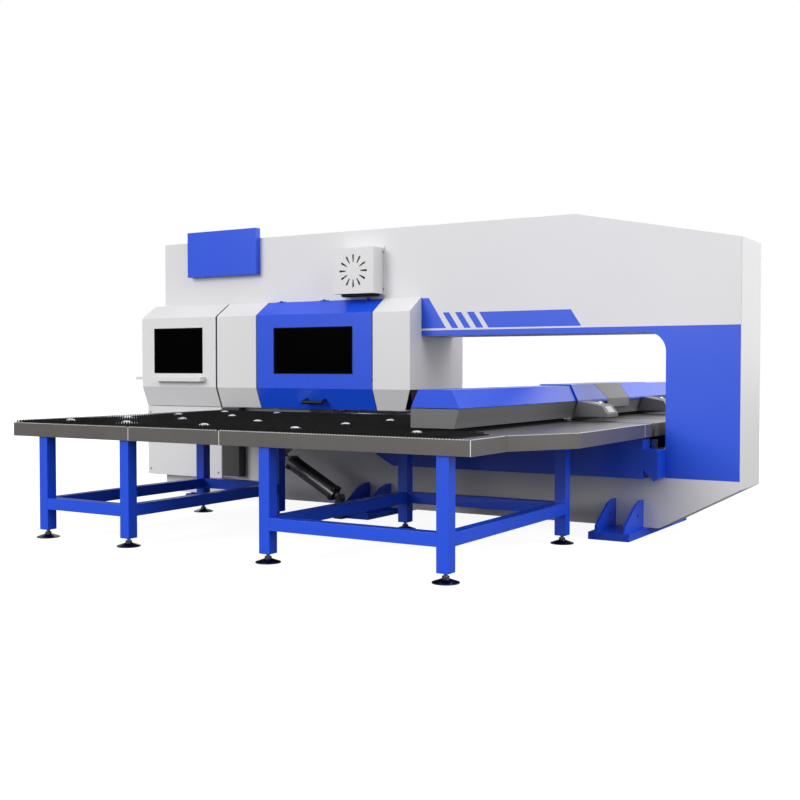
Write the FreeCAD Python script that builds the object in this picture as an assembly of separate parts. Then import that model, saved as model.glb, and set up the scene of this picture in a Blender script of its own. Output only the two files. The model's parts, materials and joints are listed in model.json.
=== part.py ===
"""CNC turret punch press: a closed portal frame, two tool turrets, a fixed brush table and an X-Y beam.

Row axes: +X from the console towards the rear column, +Y through the throat away from the
door side, +Z up. Sizes are millimetres. X is first counted from the middle of the frame, and
every piece is shifted by ORIGIN_SHIFT_X when it is written, so that the origin lies on the
floor under the middle of the whole machine.
"""
import FreeCAD, Part
import math
import os

V = FreeCAD.Vector

# --- driving dimensions ------------------------------------------------------------------
# Portal frame
FRAME_HALF_LENGTH = 2672.0
FRAME_HALF_WIDTH = 262.5
FRAME_BOTTOM = 53.0
FRAME_TOP = 2360.0
SLOPE_START_X = 1442.0
REAR_TOP = 2119.0
HEEL_X = 2100.0
HEEL_Z = 358.0
PLATE = 40.0
WEB = 25.0
THROAT_FRONT = -1000.0
THROAT_REAR = 2142.0
THROAT_TOP = 1469.0
THROAT_BOTTOM = 600.0
THROAT_RADIUS = 140.0
THROAT_SMALL_RADIUS = 60.0

# Covers on both sides of the head
SHEET = 3.0
COVER_Y = 442.5
COVER_TOP = 1785.0
COVER_BEND_TOP = 1665.0
COVER_BEND_LOW = 1035.0
SKIRT_Y = 372.0
SKIRT_BOTTOM = 860.0
CONSOLE_FRONT = -2797.0
CONSOLE_REAR = -1905.0
MID_COVER = (-1888.0, -1447.0)
DOOR = (-1440.0, -247.0)
RIGHT_COVER_START = -240.0
HEAD_END = 115.0
MOUTH_BEVEL = 91.0

# Turrets and ram
TURRET_X = -420.0
PITCH_RADIUS = 300.0
STATIONS = 16
DISC_RADIUS = 370.0
STATION_RADIUS = 35.0
UPPER_DISC = (905.0, 965.0)
LOWER_DISC = (778.0, 836.0)
SPINDLE_RADIUS = 60.0
BEARING_RADIUS = 80.0
RAM_RADIUS = 45.0
RAM_BOTTOM = 1095.0
RAM_TOP = 1640.0
RAM_X = TURRET_X + PITCH_RADIUS
RUNNING = 0.05
TURRET_PULLEY = 150.0
DRIVE_PULLEY = 50.0
DRIVE_X = -900.0
DRIVE_SHAFT_RADIUS = 25.0
UPPER_BELT = (1090.0, 1125.0)
LOWER_BELT = (700.0, 735.0)

# Tables
TABLE_TOP = 815.0
TABLE_PLATE = 8.0
TABLE_SKIRT = 4.0
SKIRT_LOW = 722.0
TABLE_HALF_WIDTH = 2651.5
TABLE_LEFT = -1904.0
LEFT_SEAM = -765.0
RIGHT_SEAM = 27.0
SEAM_GAP = 2.0
TABLE_REAR = 2088.0
CORNER_X = 1827.0
CORNER_Y = 2199.5
SIDE_Y = 1731.5
INNER_EDGE_Y = 385.0
FOOT_GAP = (330.0, 395.0)
FLAP_FRONT_Y = -1298.0
BRUSH_BOARD = 6.0
LEG = 80.0
LEG_WALL = 4.0
LEG_BOTTOM = 57.0
LEG_XS = ((-1616.0, -823.0), (373.0, 1638.0))
LEG_YS = (2593.5, 941.5)
RAIL_BOTTOM = 205.0

# Beam and carriage
BEAM_FRONT = 1138.5
BEAM_REAR = 1482.0
BEAM_EDGE_Z = 965.0
BEAM_TOP = 1078.0
BEAM_LOW = 842.0
BEAM_HALF = 2145.0
CARRIAGE = (-316.0, 1340.0)
CLAMP_YS = (0.0, 512.0, 1024.0)
JAW_PIN = (1075.0, 849.5)
RAIL_Y = 362.0
SCREW_Y = -240.0
SCREW_Z = 665.0

# Work chute flap and its air cylinder
FLAP_AXIS = (-750.0, 790.0)
CYLINDER_Y = -700.0
CYLINDER_FOOT = (-385.0, 170.0)
LEVER_PIN = (-975.0, 490.0)

# The whole machine runs from the side tray to the rear panel
TRAY_LEFT = -2892.0
REAR_PANEL = 3.0
ORIGIN_SHIFT_X = -(TRAY_LEFT + FRAME_HALF_LENGTH + REAR_PANEL) / 2


# --- small drawing helpers ----------------------------------------------------------------
def place(plane, u, v, w):
    """Point (u, v) of a drawing plane, w along the plane's normal."""
    if plane == "XZ":
        return V(u, w, v)
    if plane == "YZ":
        return V(w, u, v)
    return V(u, v, w)


def outline(corners, plane, level):
    """Closed wire through the corners; a third number in a corner is its fillet radius."""
    points = []
    count = len(corners)
    for index, corner in enumerate(corners):
        here = V(corner[0], corner[1], 0)
        radius = corner[2] if len(corner) > 2 else 0
        if not radius:
            points.append((here, None, here))
            continue
        before = corners[index - 1]
        after = corners[(index + 1) % count]
        back = (V(before[0], before[1], 0) - here).normalize()
        ahead = (V(after[0], after[1], 0) - here).normalize()
        half = back.getAngle(ahead) / 2
        cut = radius / math.tan(half)
        middle = (back + ahead).normalize() * (radius / math.sin(half) - radius)
        points.append((here + back * cut, here + middle, here + ahead * cut))
    edges = []
    for index, (start, middle, end) in enumerate(points):
        following = points[(index + 1) % count][0]
        if middle is not None:
            arc = [place(plane, p.x, p.y, level) for p in (start, middle, end)]
            edges.append(Part.Arc(*arc).toShape())
        if (following - end).Length > 1e-6:
            first = place(plane, end.x, end.y, level)
            last = place(plane, following.x, following.y, level)
            edges.append(Part.makeLine(first, last))
    return Part.Wire(edges)


def prism(corners, plane, low, high):
    """Outline drawn in one plane and extruded from low to high along its normal."""
    face = Part.Face(outline(corners, plane, low))
    return face.extrude(place(plane, 0, 0, high - low))


def box(x, y, z):
    """Box from three (low, high) pairs."""
    return Part.makeBox(x[1] - x[0], y[1] - y[0], z[1] - z[0], V(x[0], y[0], z[0]))


def rod(axis, centre, span, radius):
    """Cylinder along X, Y or Z; centre holds the two other coordinates."""
    if axis == "X":
        base, direction = V(span[0], centre[0], centre[1]), V(1, 0, 0)
    elif axis == "Y":
        base, direction = V(centre[0], span[0], centre[1]), V(0, 1, 0)
    else:
        base, direction = V(centre[0], centre[1], span[0]), V(0, 0, 1)
    return Part.makeCylinder(radius, span[1] - span[0], base, direction)


def ring(axis, centre, span, outer, inner):
    """Round sleeve."""
    return rod(axis, centre, span, outer).cut(rod(axis, centre, span, inner))


def offset_line(points, distance, closed=False):
    """Points moved to the left of their line by a distance, with mitred corners."""
    count = len(points)
    moved = []
    for index, point in enumerate(points):
        sides = []
        if closed or index > 0:
            before = points[index - 1]
            sides.append((point[0] - before[0], point[1] - before[1]))
        if closed or index < count - 1:
            after = points[(index + 1) % count]
            sides.append((after[0] - point[0], after[1] - point[1]))
        normals = []
        for along in sides:
            length = math.hypot(*along)
            normals.append((-along[1] / length, along[0] / length))
        x = sum(n[0] for n in normals)
        y = sum(n[1] for n in normals)
        scale = distance * len(normals) / (x * x + y * y)
        moved.append((point[0] + x * scale, point[1] + y * scale))
    return moved


def folded(points, thickness, plane, low, high):
    """Folded sheet: an open line thickened to its left and extruded."""
    inner = offset_line(points, thickness)
    return prism(points + inner[::-1], plane, low, high)


def tray(corners, bottom, top, plate, skirt):
    """Table top folded down on all sides."""
    inner = offset_line(corners, skirt, closed=True)
    return prism(corners, "XY", bottom, top).cut(prism(inner, "XY", bottom, top - plate))


def square_tube(x, y, z, wall, axis):
    """Rectangular tube with open ends along the axis."""
    spans = [x, y, z]
    bore = [(low + wall, high - wall) for low, high in spans]
    index = "XYZ".index(axis)
    bore[index] = spans[index]
    return box(*spans).cut(box(*bore))


def across(shape):
    """The same shape on the other side of the frame's middle plane."""
    return shape.mirror(V(0, 0, 0), V(0, 1, 0))


def save(name, *solids):
    """Write one node."""
    shape = Part.makeCompound(list(solids)) if len(solids) > 1 else solids[0].copy()
    shape.translate(V(ORIGIN_SHIFT_X, 0, 0))
    shape.exportStep("parts/" + name + ".step")


# --- portal frame ---------------------------------------------------------------------------
FRAME_OUTLINE = [
    (-FRAME_HALF_LENGTH, FRAME_BOTTOM),
    (HEEL_X, FRAME_BOTTOM),
    (FRAME_HALF_LENGTH, HEEL_Z),
    (FRAME_HALF_LENGTH, REAR_TOP),
    (SLOPE_START_X, FRAME_TOP),
    (-FRAME_HALF_LENGTH, FRAME_TOP),
]


def throat_outline(grow):
    """The window through the frame, widened by grow on every side."""
    small = THROAT_SMALL_RADIUS + grow
    return [
        (THROAT_FRONT - grow, THROAT_BOTTOM - grow, small),
        (THROAT_REAR + grow, THROAT_BOTTOM - grow, small),
        (THROAT_REAR + grow, THROAT_TOP + grow, THROAT_RADIUS + grow),
        (THROAT_FRONT - grow, THROAT_TOP + grow, small),
    ]


def frame_plate():
    """Thick side plate on the door side."""
    span = (-FRAME_HALF_WIDTH, -FRAME_HALF_WIDTH + PLATE)
    return prism(FRAME_OUTLINE, "XZ", *span).cut(prism(throat_outline(0), "XZ", *span))


def throat_band(half):
    """Lining of the throat: four flat plates and four bent corner plates, welded end to end."""
    band = prism(throat_outline(WEB), "XZ", -half, half)
    band = band.cut(prism(throat_outline(0), "XZ", -half, half))
    band = band.cut(rod("Z", (RAM_X, 0), (THROAT_TOP - 1, THROAT_TOP + WEB + 1), RAM_RADIUS + 5))
    small = THROAT_SMALL_RADIUS
    x_cuts = (THROAT_FRONT - WEB, THROAT_FRONT + small, THROAT_REAR - THROAT_RADIUS, THROAT_REAR + WEB)
    z_cuts = (THROAT_BOTTOM - WEB, THROAT_BOTTOM + small, THROAT_TOP - THROAT_RADIUS, THROAT_TOP + WEB)
    plates = []
    for x in zip(x_cuts, x_cuts[1:]):
        for z in zip(z_cuts, z_cuts[1:]):
            plates += band.common(box(x, (-half, half), z)).Solids
    return plates


def frame_webs():
    """Plates welded between the two side plates: rim, throat band and ribs."""
    half = FRAME_HALF_WIDTH - PLATE
    inner = offset_line(FRAME_OUTLINE, WEB, closed=True)
    webs = []
    for index, corner in enumerate(FRAME_OUTLINE):
        after = (index + 1) % len(FRAME_OUTLINE)
        quad = [corner, FRAME_OUTLINE[after], inner[after], inner[index]]
        webs.append(prism(quad, "XZ", -half, half))
    webs += throat_band(half)
    width = (-half, half)
    rib = 20.0
    upper = (THROAT_TOP + WEB, FRAME_TOP - WEB)
    lower = (FRAME_BOTTOM + WEB, THROAT_BOTTOM - WEB)
    front = (-FRAME_HALF_LENGTH + WEB, THROAT_FRONT - WEB)
    rear = (THROAT_REAR + WEB, FRAME_HALF_LENGTH - WEB)
    for x in (-700.0, 500.0, 1200.0):
        webs.append(box((x, x + rib), width, upper))
    for x in (-600.0, 500.0, 1400.0):
        webs.append(box((x, x + rib), width, lower))
    for z in (700.0, 1500.0):
        webs.append(box(front, width, (z, z + rib)))
    webs.append(box(rear, width, (1000.0, 1000.0 + rib)))
    return webs


BASE_STARTS = (-440.0, 1718.0)
BASE_LENGTH = 300.0
PAD_PLACES = ((-2410.0, -170.0), (-2410.0, 170.0))
BASE_HALF_WIDTH = 667.0
ANCHOR_RADIUS = 14.0
ANCHOR_Y = 610.0
ANCHOR_PITCH = 120.0


def levelling_pads():
    """Two round pads under the front column."""
    pads = []
    for centre in PAD_PLACES:
        pads.append(rod("Z", centre, (0, 28.0), 80.0).fuse(rod("Z", centre, (28.0, FRAME_BOTTOM), 30.0)))
    return [pad.removeSplitter() for pad in pads]


def base_block(start):
    """Sole plate with four anchor holes, and the four gussets welded on it."""
    block = box((start, start + BASE_LENGTH), (-BASE_HALF_WIDTH, BASE_HALF_WIDTH), (0, FRAME_BOTTOM))
    profile = [
        (-FRAME_HALF_WIDTH, FRAME_BOTTOM),
        (-650.0, FRAME_BOTTOM),
        (-650.0, 98.0),
        (-420.0, 232.0, 60.0),
        (-330.0, 255.0, 40.0),
        (-FRAME_HALF_WIDTH, 255.0),
    ]
    middle = start + BASE_LENGTH / 2
    gussets = []
    for x in (start + 50.0, start + 258.0):
        gusset = prism(profile, "YZ", x - 8, x + 8)
        gusset = gusset.cut(rod("X", (-385.0, 150.0), (x - 9, x + 9), 13.0))
        gussets += [gusset, across(gusset)]
    for x in (middle - ANCHOR_PITCH / 2, middle + ANCHOR_PITCH / 2):
        for y in (-ANCHOR_Y, ANCHOR_Y):
            block = block.cut(rod("Z", (x, y), (-1, FRAME_BOTTOM + 1), ANCHOR_RADIUS))
    return [block] + gussets


# --- covers, console and door ----------------------------------------------------------------
COVER_EDGE = FRAME_HALF_WIDTH + 1.7
COVER_PROFILE = [
    (-COVER_EDGE, COVER_TOP),
    (-COVER_Y, COVER_BEND_TOP),
    (-COVER_Y, COVER_BEND_LOW),
    (-SKIRT_Y, SKIRT_BOTTOM),
]
SCREEN = ((-2638.0, -2064.0), (1165.0, 1565.0))
WINDOW = ((-1249.0, -443.0), (1164.0, 1548.0))


def console_cover():
    """Folded cover round the screen, closed at its free end."""
    shell = folded(COVER_PROFILE, SHEET, "YZ", CONSOLE_FRONT, CONSOLE_REAR)
    side = COVER_PROFILE + [(-FRAME_HALF_WIDTH, SKIRT_BOTTOM)]
    shell = shell.fuse(prism(side, "YZ", CONSOLE_FRONT, CONSOLE_FRONT + SHEET))
    return shell.cut(box(SCREEN[0], (-COVER_Y - 1, -COVER_Y + SHEET + 1), SCREEN[1])).removeSplitter()


def console_shelves():
    """Keyboard shelf under the screen and the small tray on the console's free end."""
    keyboard = box((-2600.0, -2030.0), (-COVER_Y - 62, -COVER_Y), (1087.0, 1128.0))
    keyboard = keyboard.cut(box((-2594.0, -2036.0), (-COVER_Y - 56, -COVER_Y - 4), (1112.0, 1129.0)))
    side = box((TRAY_LEFT, CONSOLE_FRONT), (-430.0, -230.0), (1100.0, 1125.0))
    side = side.cut(box((TRAY_LEFT + 4, CONSOLE_FRONT - 4), (-426.0, -234.0), (1106.0, 1126.0)))
    return keyboard, side


def end_panels():
    """Closing sheets: round the console end, on the head in the throat, and on the rear end."""
    half = FRAME_HALF_WIDTH
    corner = [(CONSOLE_FRONT, SKIRT_BOTTOM), (CONSOLE_FRONT, COVER_TOP), (-FRAME_HALF_LENGTH, COVER_TOP)]
    console_end = folded(corner[::-1], SHEET, "XZ", -half, half)
    face = [
        (-half, COVER_TOP),
        (-COVER_Y, COVER_BEND_TOP),
        (-COVER_Y, COVER_BEND_LOW),
        (COVER_Y, COVER_BEND_LOW),
        (COVER_Y, COVER_BEND_TOP),
        (half, COVER_TOP),
    ]
    head_end = prism(face, "YZ", HEAD_END - SHEET, HEAD_END)
    head_end = head_end.cut(box((HEAD_END - 10, HEAD_END + 10), (-half, half), (THROAT_TOP, FRAME_TOP)))
    rear_x = (FRAME_HALF_LENGTH, FRAME_HALF_LENGTH + REAR_PANEL)
    rear = box(rear_x, (-half, half + 6), (HEEL_Z + 4, REAR_TOP - 4))
    return console_end, head_end, rear


def bevelled(cover):
    """Cover with the lower corner at the throat cut off at a slant."""
    reach = COVER_Y + 10
    waste = [(HEAD_END + 5, COVER_BEND_LOW), (HEAD_END - SHEET, COVER_BEND_LOW)]
    waste += [(HEAD_END - MOUTH_BEVEL, SKIRT_BOTTOM - 5), (HEAD_END + 5, SKIRT_BOTTOM - 5)]
    return cover.cut(prism(waste, "XZ", -reach, reach))


def front_covers():
    """The plain folded covers on each side of the door."""
    right = folded(COVER_PROFILE, SHEET, "YZ", RIGHT_COVER_START, HEAD_END - SHEET)
    return folded(COVER_PROFILE, SHEET, "YZ", *MID_COVER), bevelled(right)


def far_cover():
    """One long folded cover on the other side of the frame."""
    shell = folded(COVER_PROFILE, SHEET, "YZ", CONSOLE_FRONT, HEAD_END - SHEET)
    side = COVER_PROFILE + [(-FRAME_HALF_WIDTH, SKIRT_BOTTOM)]
    shell = shell.fuse(prism(side, "YZ", CONSOLE_FRONT, CONSOLE_FRONT + SHEET)).removeSplitter()
    return across(bevelled(shell))


CABINET = (-2807.0, -1910.0)
CABINET_Y = 362.5
CABINET_Z = (215.0, 857.0)
VENT_END = -1715.0


def lower_cabinet():
    """Folded casing round the foot of the front column, and the dark service panel beside it."""
    line = [
        (CABINET[1], -FRAME_HALF_WIDTH),
        (CABINET[1], -CABINET_Y),
        (CABINET[0], -CABINET_Y),
        (CABINET[0], CABINET_Y),
        (CABINET[1], CABINET_Y),
        (CABINET[1], FRAME_HALF_WIDTH),
    ]
    casing = folded(line[::-1], SHEET, "XY", *CABINET_Z)
    service = [(VENT_END, -FRAME_HALF_WIDTH), (VENT_END, -355.0), (CABINET[1], -355.0)]
    return casing, folded(service[::-1], SHEET, "XY", 232.0, CABINET_Z[1])


HINGE = (-268.0, 1790.0)
HINGE_XS = (-1300.0, -845.0, -390.0)
KNUCKLE = 30.0
PIN_RADIUS = 2.5


def door_shell():
    """Folded lift-up door with a window opening and its three hinge knuckles."""
    profile = [(-266.0, COVER_TOP - 2.5)] + COVER_PROFILE[1:]
    shell = folded(profile, SHEET, "YZ", *DOOR)
    shell = shell.cut(box(WINDOW[0], (-COVER_Y - 1, -COVER_Y + SHEET + 1), WINDOW[1]))
    for x in HINGE_XS:
        span = (x - KNUCKLE / 2, x + KNUCKLE / 2)
        leaf = prism([(-270.0, 1778.0), (-266.0, 1781.0), (-266.0, 1788.0), (-271.0, 1788.0)], "YZ", *span)
        shell = shell.fuse([rod("X", HINGE, span, 5.0), leaf])
    for x in HINGE_XS:
        span = (x - KNUCKLE, x + KNUCKLE)
        shell = shell.cut(rod("X", HINGE, span, PIN_RADIUS + RUNNING))
    return shell.removeSplitter()


def door_hinges():
    """Fixed hinge knuckles with their pins, welded to the side plate."""
    hinges = []
    for x in HINGE_XS:
        pin = rod("X", HINGE, (x - KNUCKLE * 1.5, x + KNUCKLE * 1.5), PIN_RADIUS)
        knuckles = []
        for low in (x - KNUCKLE * 1.5, x + KNUCKLE / 2 + 0.5):
            span = (low, low + KNUCKLE - 0.5)
            knuckles.append(rod("X", HINGE, span, 5.0))
            knuckles.append(box(span, (-268.0, -FRAME_HALF_WIDTH), (1786.0, 1794.0)))
        hinges.append(pin.fuse(knuckles).removeSplitter())
    return hinges


def door_window():
    """Dark pane glued behind the door's opening."""
    margin = 12.0
    x = (WINDOW[0][0] - margin, WINDOW[0][1] + margin)
    z = (WINDOW[1][0] - margin, WINDOW[1][1] + margin)
    return box(x, (-COVER_Y + SHEET, -COVER_Y + SHEET + 5), z)


def door_handle():
    """D-shaped pull handle standing square off the door's lower slope."""
    low = V(0, -SKIRT_Y, SKIRT_BOTTOM)
    high = V(0, -COVER_Y, COVER_BEND_LOW)
    out = V(0, -(high - low).z, (high - low).y).normalize()
    root = low + (high - low) * 0.47
    ends = (-927.0, -739.0)
    reach = 62.0
    posts = []
    for x in ends:
        posts.append(Part.makeCylinder(14.0, reach, V(x, root.y, root.z), out))
    bar_centre = root + out * reach
    bar = rod("X", (bar_centre.y, bar_centre.z), (ends[0] - 15, ends[1] + 15), 17.0)
    return bar.fuse(posts).removeSplitter()


# --- sign board and fan ------------------------------------------------------------------------
SIGN = ((-2338.0, -1541.0), (2037.0, 2444.0))
SIGN_DEPTH = 62.0
FAN_X = (-644.0, -250.0)
FAN_Z = (1822.0, 2200.0)
FAN_FRONT_Y = -417.5
FAN_CENTRE = (-447.0, 2009.0)
FAN_SLOTS = 12
FAN_SPINDLE = 10.0


def sign_board():
    """Blank folded sign tray on the side plate."""
    y = (-FRAME_HALF_WIDTH - SIGN_DEPTH, -FRAME_HALF_WIDTH)
    tray_box = box(SIGN[0], y, SIGN[1])
    hollow = box(
        (SIGN[0][0] + SHEET, SIGN[0][1] - SHEET),
        (y[0] + SHEET, y[1]),
        (SIGN[1][0] + SHEET, SIGN[1][1] - SHEET),
    )
    return tray_box.cut(hollow)


def fan_box():
    """Fan casing with a ring of radial slots, and its back plate with the rotor spindle."""
    back_y = -FRAME_HALF_WIDTH - 10
    casing = box(FAN_X, (FAN_FRONT_Y, back_y), FAN_Z)
    casing = casing.cut(box(
        (FAN_X[0] + SHEET, FAN_X[1] - SHEET),
        (FAN_FRONT_Y + SHEET, back_y),
        (FAN_Z[0] + SHEET, FAN_Z[1] - SHEET),
    ))
    petal = [(71.0, -4.0), (132.0, -9.0), (136.0, 0.0), (132.0, 9.0), (71.0, 4.0)]
    for index in range(FAN_SLOTS):
        angle = math.radians(360.0 * index / FAN_SLOTS)
        turned = [
            (
                FAN_CENTRE[0] + u * math.cos(angle) - v * math.sin(angle),
                FAN_CENTRE[1] + u * math.sin(angle) + v * math.cos(angle),
            )
            for u, v in petal
        ]
        casing = casing.cut(prism(turned, "XZ", FAN_FRONT_Y - 1, FAN_FRONT_Y + SHEET + 1))
    margin = 14.0
    back = box(
        (FAN_X[0] - margin, FAN_X[1] + margin),
        (back_y, -FRAME_HALF_WIDTH),
        (FAN_Z[0] - margin, FAN_Z[1] + margin),
    )
    return casing, back.fuse(rod("Y", FAN_CENTRE, (-350.0, back_y), FAN_SPINDLE))


def fan_duct():
    """Short dark collar under the fan casing."""
    corners = [(-604.0, -400.0, 60.0), (-262.0, -400.0, 60.0)]
    corners += [(-262.0, -276.0, 40.0), (-604.0, -276.0, 40.0)]
    inner = [(-596.0, -392.0, 52.0), (-270.0, -392.0, 52.0)]
    inner += [(-270.0, -284.0, 32.0), (-596.0, -284.0, 32.0)]
    return prism(corners, "XY", 1803.0, FAN_Z[0]).cut(prism(inner, "XY", 1803.0, FAN_Z[0]))


def fan_rotor():
    """Seven pitched blades on a hub."""
    hub = rod("Y", FAN_CENTRE, (-350.0, -300.0), 45.0)
    blades = []
    for index in range(7):
        blade = Part.makeBox(90.0, 46.0, 4.0, V(38.0, -23.0, -2.0))
        blade.rotate(V(0, 0, 0), V(1, 0, 0), 35.0)
        blade.rotate(V(0, 0, 0), V(0, 1, 0), 360.0 * index / 7)
        blade.translate(V(FAN_CENTRE[0], -325.0, FAN_CENTRE[1]))
        blades.append(blade)
    rotor = hub.fuse(blades)
    return rotor.cut(rod("Y", FAN_CENTRE, (-351.0, -299.0), FAN_SPINDLE + RUNNING)).removeSplitter()


# --- head, ram, turrets and their drive --------------------------------------------------------
def head_housing():
    """Cast head bolted under the upper arm, bored for the turret spindle and the ram."""
    block = box((-780.0, 50.0), (-200.0, 200.0), (1140.0, THROAT_TOP))
    block = block.cut(rod("Z", (TURRET_X, 0), (1140.0, 1400.0), BEARING_RADIUS))
    return block.cut(rod("Z", (RAM_X, 0), (1139.0, THROAT_TOP + 1), 60.0))


def bearing_blocks():
    """Lower bearing blocks of the turret spindle and of the drive shaft."""
    turret = box((TURRET_X - 130, TURRET_X + 130), (-130.0, 130.0), (THROAT_BOTTOM, 690.0))
    turret = turret.cut(rod("Z", (TURRET_X, 0), (THROAT_BOTTOM, 691.0), BEARING_RADIUS))
    drive = box((DRIVE_X - 38, DRIVE_X + 60), (-60.0, 60.0), (THROAT_BOTTOM, 660.0))
    drive = drive.cut(rod("Z", (DRIVE_X, 0), (THROAT_BOTTOM, 661.0), 35.0))
    return turret, drive


def bearings():
    """Spindle bearings, ram bush and drive shaft bearing."""
    bore = SPINDLE_RADIUS + RUNNING
    axis = (TURRET_X, 0)
    return (
        ring("Z", axis, (1150.0, 1200.0), BEARING_RADIUS, bore),
        ring("Z", axis, (1330.0, 1380.0), BEARING_RADIUS, bore),
        ring("Z", (RAM_X, 0), (1140.0, THROAT_TOP), 60.0, RAM_RADIUS + RUNNING),
        ring("Z", axis, (610.0, 680.0), BEARING_RADIUS, bore),
        ring("Z", (DRIVE_X, 0), (605.0, 655.0), 35.0, DRIVE_SHAFT_RADIUS + RUNNING),
    )


def station_centres():
    """Tool stations on the pitch circle; the first lies under the ram."""
    for index in range(STATIONS):
        angle = 2 * math.pi * index / STATIONS
        yield TURRET_X + PITCH_RADIUS * math.cos(angle), PITCH_RADIUS * math.sin(angle)


def turret_disc(span):
    """Turret plate bored for its tools and its spindle."""
    disc = rod("Z", (TURRET_X, 0), span, DISC_RADIUS)
    disc = disc.cut(rod("Z", (TURRET_X, 0), span, SPINDLE_RADIUS))
    return disc.cut([rod("Z", centre, span, STATION_RADIUS) for centre in station_centres()])


def punch_holders():
    """Upper tools: guide, head and punch tip, one in each station."""
    tools = []
    for centre in station_centres():
        body = rod("Z", centre, (872.0, 1050.0), STATION_RADIUS)
        tip = rod("Z", centre, (862.0, 872.0), 12.0)
        tools.append(body.fuse([tip, rod("Z", centre, (1050.0, 1060.0), 26.0)]).removeSplitter())
    return tools


def die_holders():
    """Lower tools: a bored die in each station."""
    span = (LOWER_DISC[0] + 10, LOWER_DISC[1] + 3)
    return [ring("Z", centre, span, STATION_RADIUS, 14.0) for centre in station_centres()]


def upper_spindle():
    """Spindle of the upper turret with its belt pulley."""
    shaft = rod("Z", (TURRET_X, 0), (UPPER_DISC[0], 1395.0), SPINDLE_RADIUS)
    return shaft.fuse(rod("Z", (TURRET_X, 0), UPPER_BELT, TURRET_PULLEY)).removeSplitter()


def lower_spindle():
    """Spindle of the lower turret with its belt pulley."""
    shaft = rod("Z", (TURRET_X, 0), (605.0, LOWER_DISC[1]), SPINDLE_RADIUS)
    return shaft.fuse(rod("Z", (TURRET_X, 0), LOWER_BELT, TURRET_PULLEY)).removeSplitter()


def drive_shaft():
    """Upright shaft that turns both turrets through its two small pulleys."""
    shaft = rod("Z", (DRIVE_X, 0), (602.0, 1250.0), DRIVE_SHAFT_RADIUS)
    pulleys = [rod("Z", (DRIVE_X, 0), span, DRIVE_PULLEY) for span in (UPPER_BELT, LOWER_BELT)]
    return shaft.fuse(pulleys).removeSplitter()


def belt_wire(grow, level):
    """Closed line round the big and the small pulley, grow outside their rims."""
    big = TURRET_PULLEY + grow
    small = DRIVE_PULLEY + grow
    angle = math.pi - math.acos((big - small) / (TURRET_X - DRIVE_X))
    across_big = V(big * math.cos(angle), big * math.sin(angle), 0)
    across_small = V(small * math.cos(angle), small * math.sin(angle), 0)
    big_centre = V(TURRET_X, 0, level)
    small_centre = V(DRIVE_X, 0, level)
    flip = V(across_big.x, -across_big.y, 0)
    flip_small = V(across_small.x, -across_small.y, 0)
    big_arc = Part.Arc(big_centre + flip, big_centre + V(big, 0, 0), big_centre + across_big)
    far_left = small_centre - V(small, 0, 0)
    small_arc = Part.Arc(small_centre + across_small, far_left, small_centre + flip_small)
    return Part.Wire([
        big_arc.toShape(),
        Part.makeLine(big_centre + across_big, small_centre + across_small),
        small_arc.toShape(),
        Part.makeLine(small_centre + flip_small, big_centre + flip),
    ])


def turret_belts():
    """Toothed belts, drawn as plain bands just clear of their pulleys."""
    belts = []
    for low, high in (UPPER_BELT, LOWER_BELT):
        rise = V(0, 0, high - low)
        outer = Part.Face(belt_wire(5.5, low)).extrude(rise)
        belts.append(outer.cut(Part.Face(belt_wire(0.5, low)).extrude(rise)))
    return belts


def ram():
    """Round ram with its striker foot."""
    foot = 20.0
    body = rod("Z", (RAM_X, 0), (RAM_BOTTOM + foot, RAM_TOP), RAM_RADIUS)
    return body.fuse(rod("Z", (RAM_X, 0), (RAM_BOTTOM, RAM_BOTTOM + foot), RAM_RADIUS - 10)).removeSplitter()


def ram_gearbox():
    """Guide tube and screw gearbox on the upper arm, above the ram."""
    tube = rod("Z", (RAM_X, 0), (THROAT_TOP + WEB, 1760.0), 75.0)
    return tube.cut(rod("Z", (RAM_X, 0), (THROAT_TOP + WEB, RAM_TOP + 5), RAM_RADIUS + RUNNING))


def servo_motors():
    """Motor of the ram and motor of the turrets."""
    ram_motor = box((RAM_X - 90, RAM_X + 90), (-90.0, 90.0), (1760.0, 2080.0))
    turret_motor = box((DRIVE_X - 80, DRIVE_X + 80), (-80.0, 80.0), (1215.0, 1440.0))
    flange = box((DRIVE_X - 85, -780.0), (-90.0, 90.0), (1200.0, 1215.0))
    turret_motor = turret_motor.fuse(flange)
    bore = rod("Z", (DRIVE_X, 0), (1199.0, 1255.0), DRIVE_SHAFT_RADIUS + RUNNING)
    return ram_motor, turret_motor.cut(bore).removeSplitter()


# --- tables --------------------------------------------------------------------------------------
def table_section(x0, x1, y0, y1):
    """Rectangular table section."""
    corners = [(x0, y0), (x1, y0), (x1, y1), (x0, y1)]
    return tray(corners, SKIRT_LOW, TABLE_TOP, TABLE_PLATE, TABLE_SKIRT)


def table_near_left():
    """Left table section, with a notch for the flap's lever."""
    top = table_section(TABLE_LEFT, LEFT_SEAM - SEAM_GAP / 2, -TABLE_HALF_WIDTH, -INNER_EDGE_Y)
    notch = box((LEFT_SEAM - 10, LEFT_SEAM + 1), (CYLINDER_Y - 14, CYLINDER_Y + 14), (SKIRT_LOW - 1, 775.0))
    return top.cut(notch)


def table_right():
    """Right table section with its bevelled outer corner, on the door side."""
    corners = [
        (RIGHT_SEAM + SEAM_GAP / 2, -TABLE_HALF_WIDTH),
        (CORNER_X, -TABLE_HALF_WIDTH),
        (CORNER_X, -CORNER_Y),
        (TABLE_REAR, -SIDE_Y),
        (TABLE_REAR, -FOOT_GAP[1]),
        (RIGHT_SEAM + SEAM_GAP / 2, -FOOT_GAP[1]),
    ]
    return tray(corners, SKIRT_LOW, TABLE_TOP, TABLE_PLATE, TABLE_SKIRT)


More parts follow.
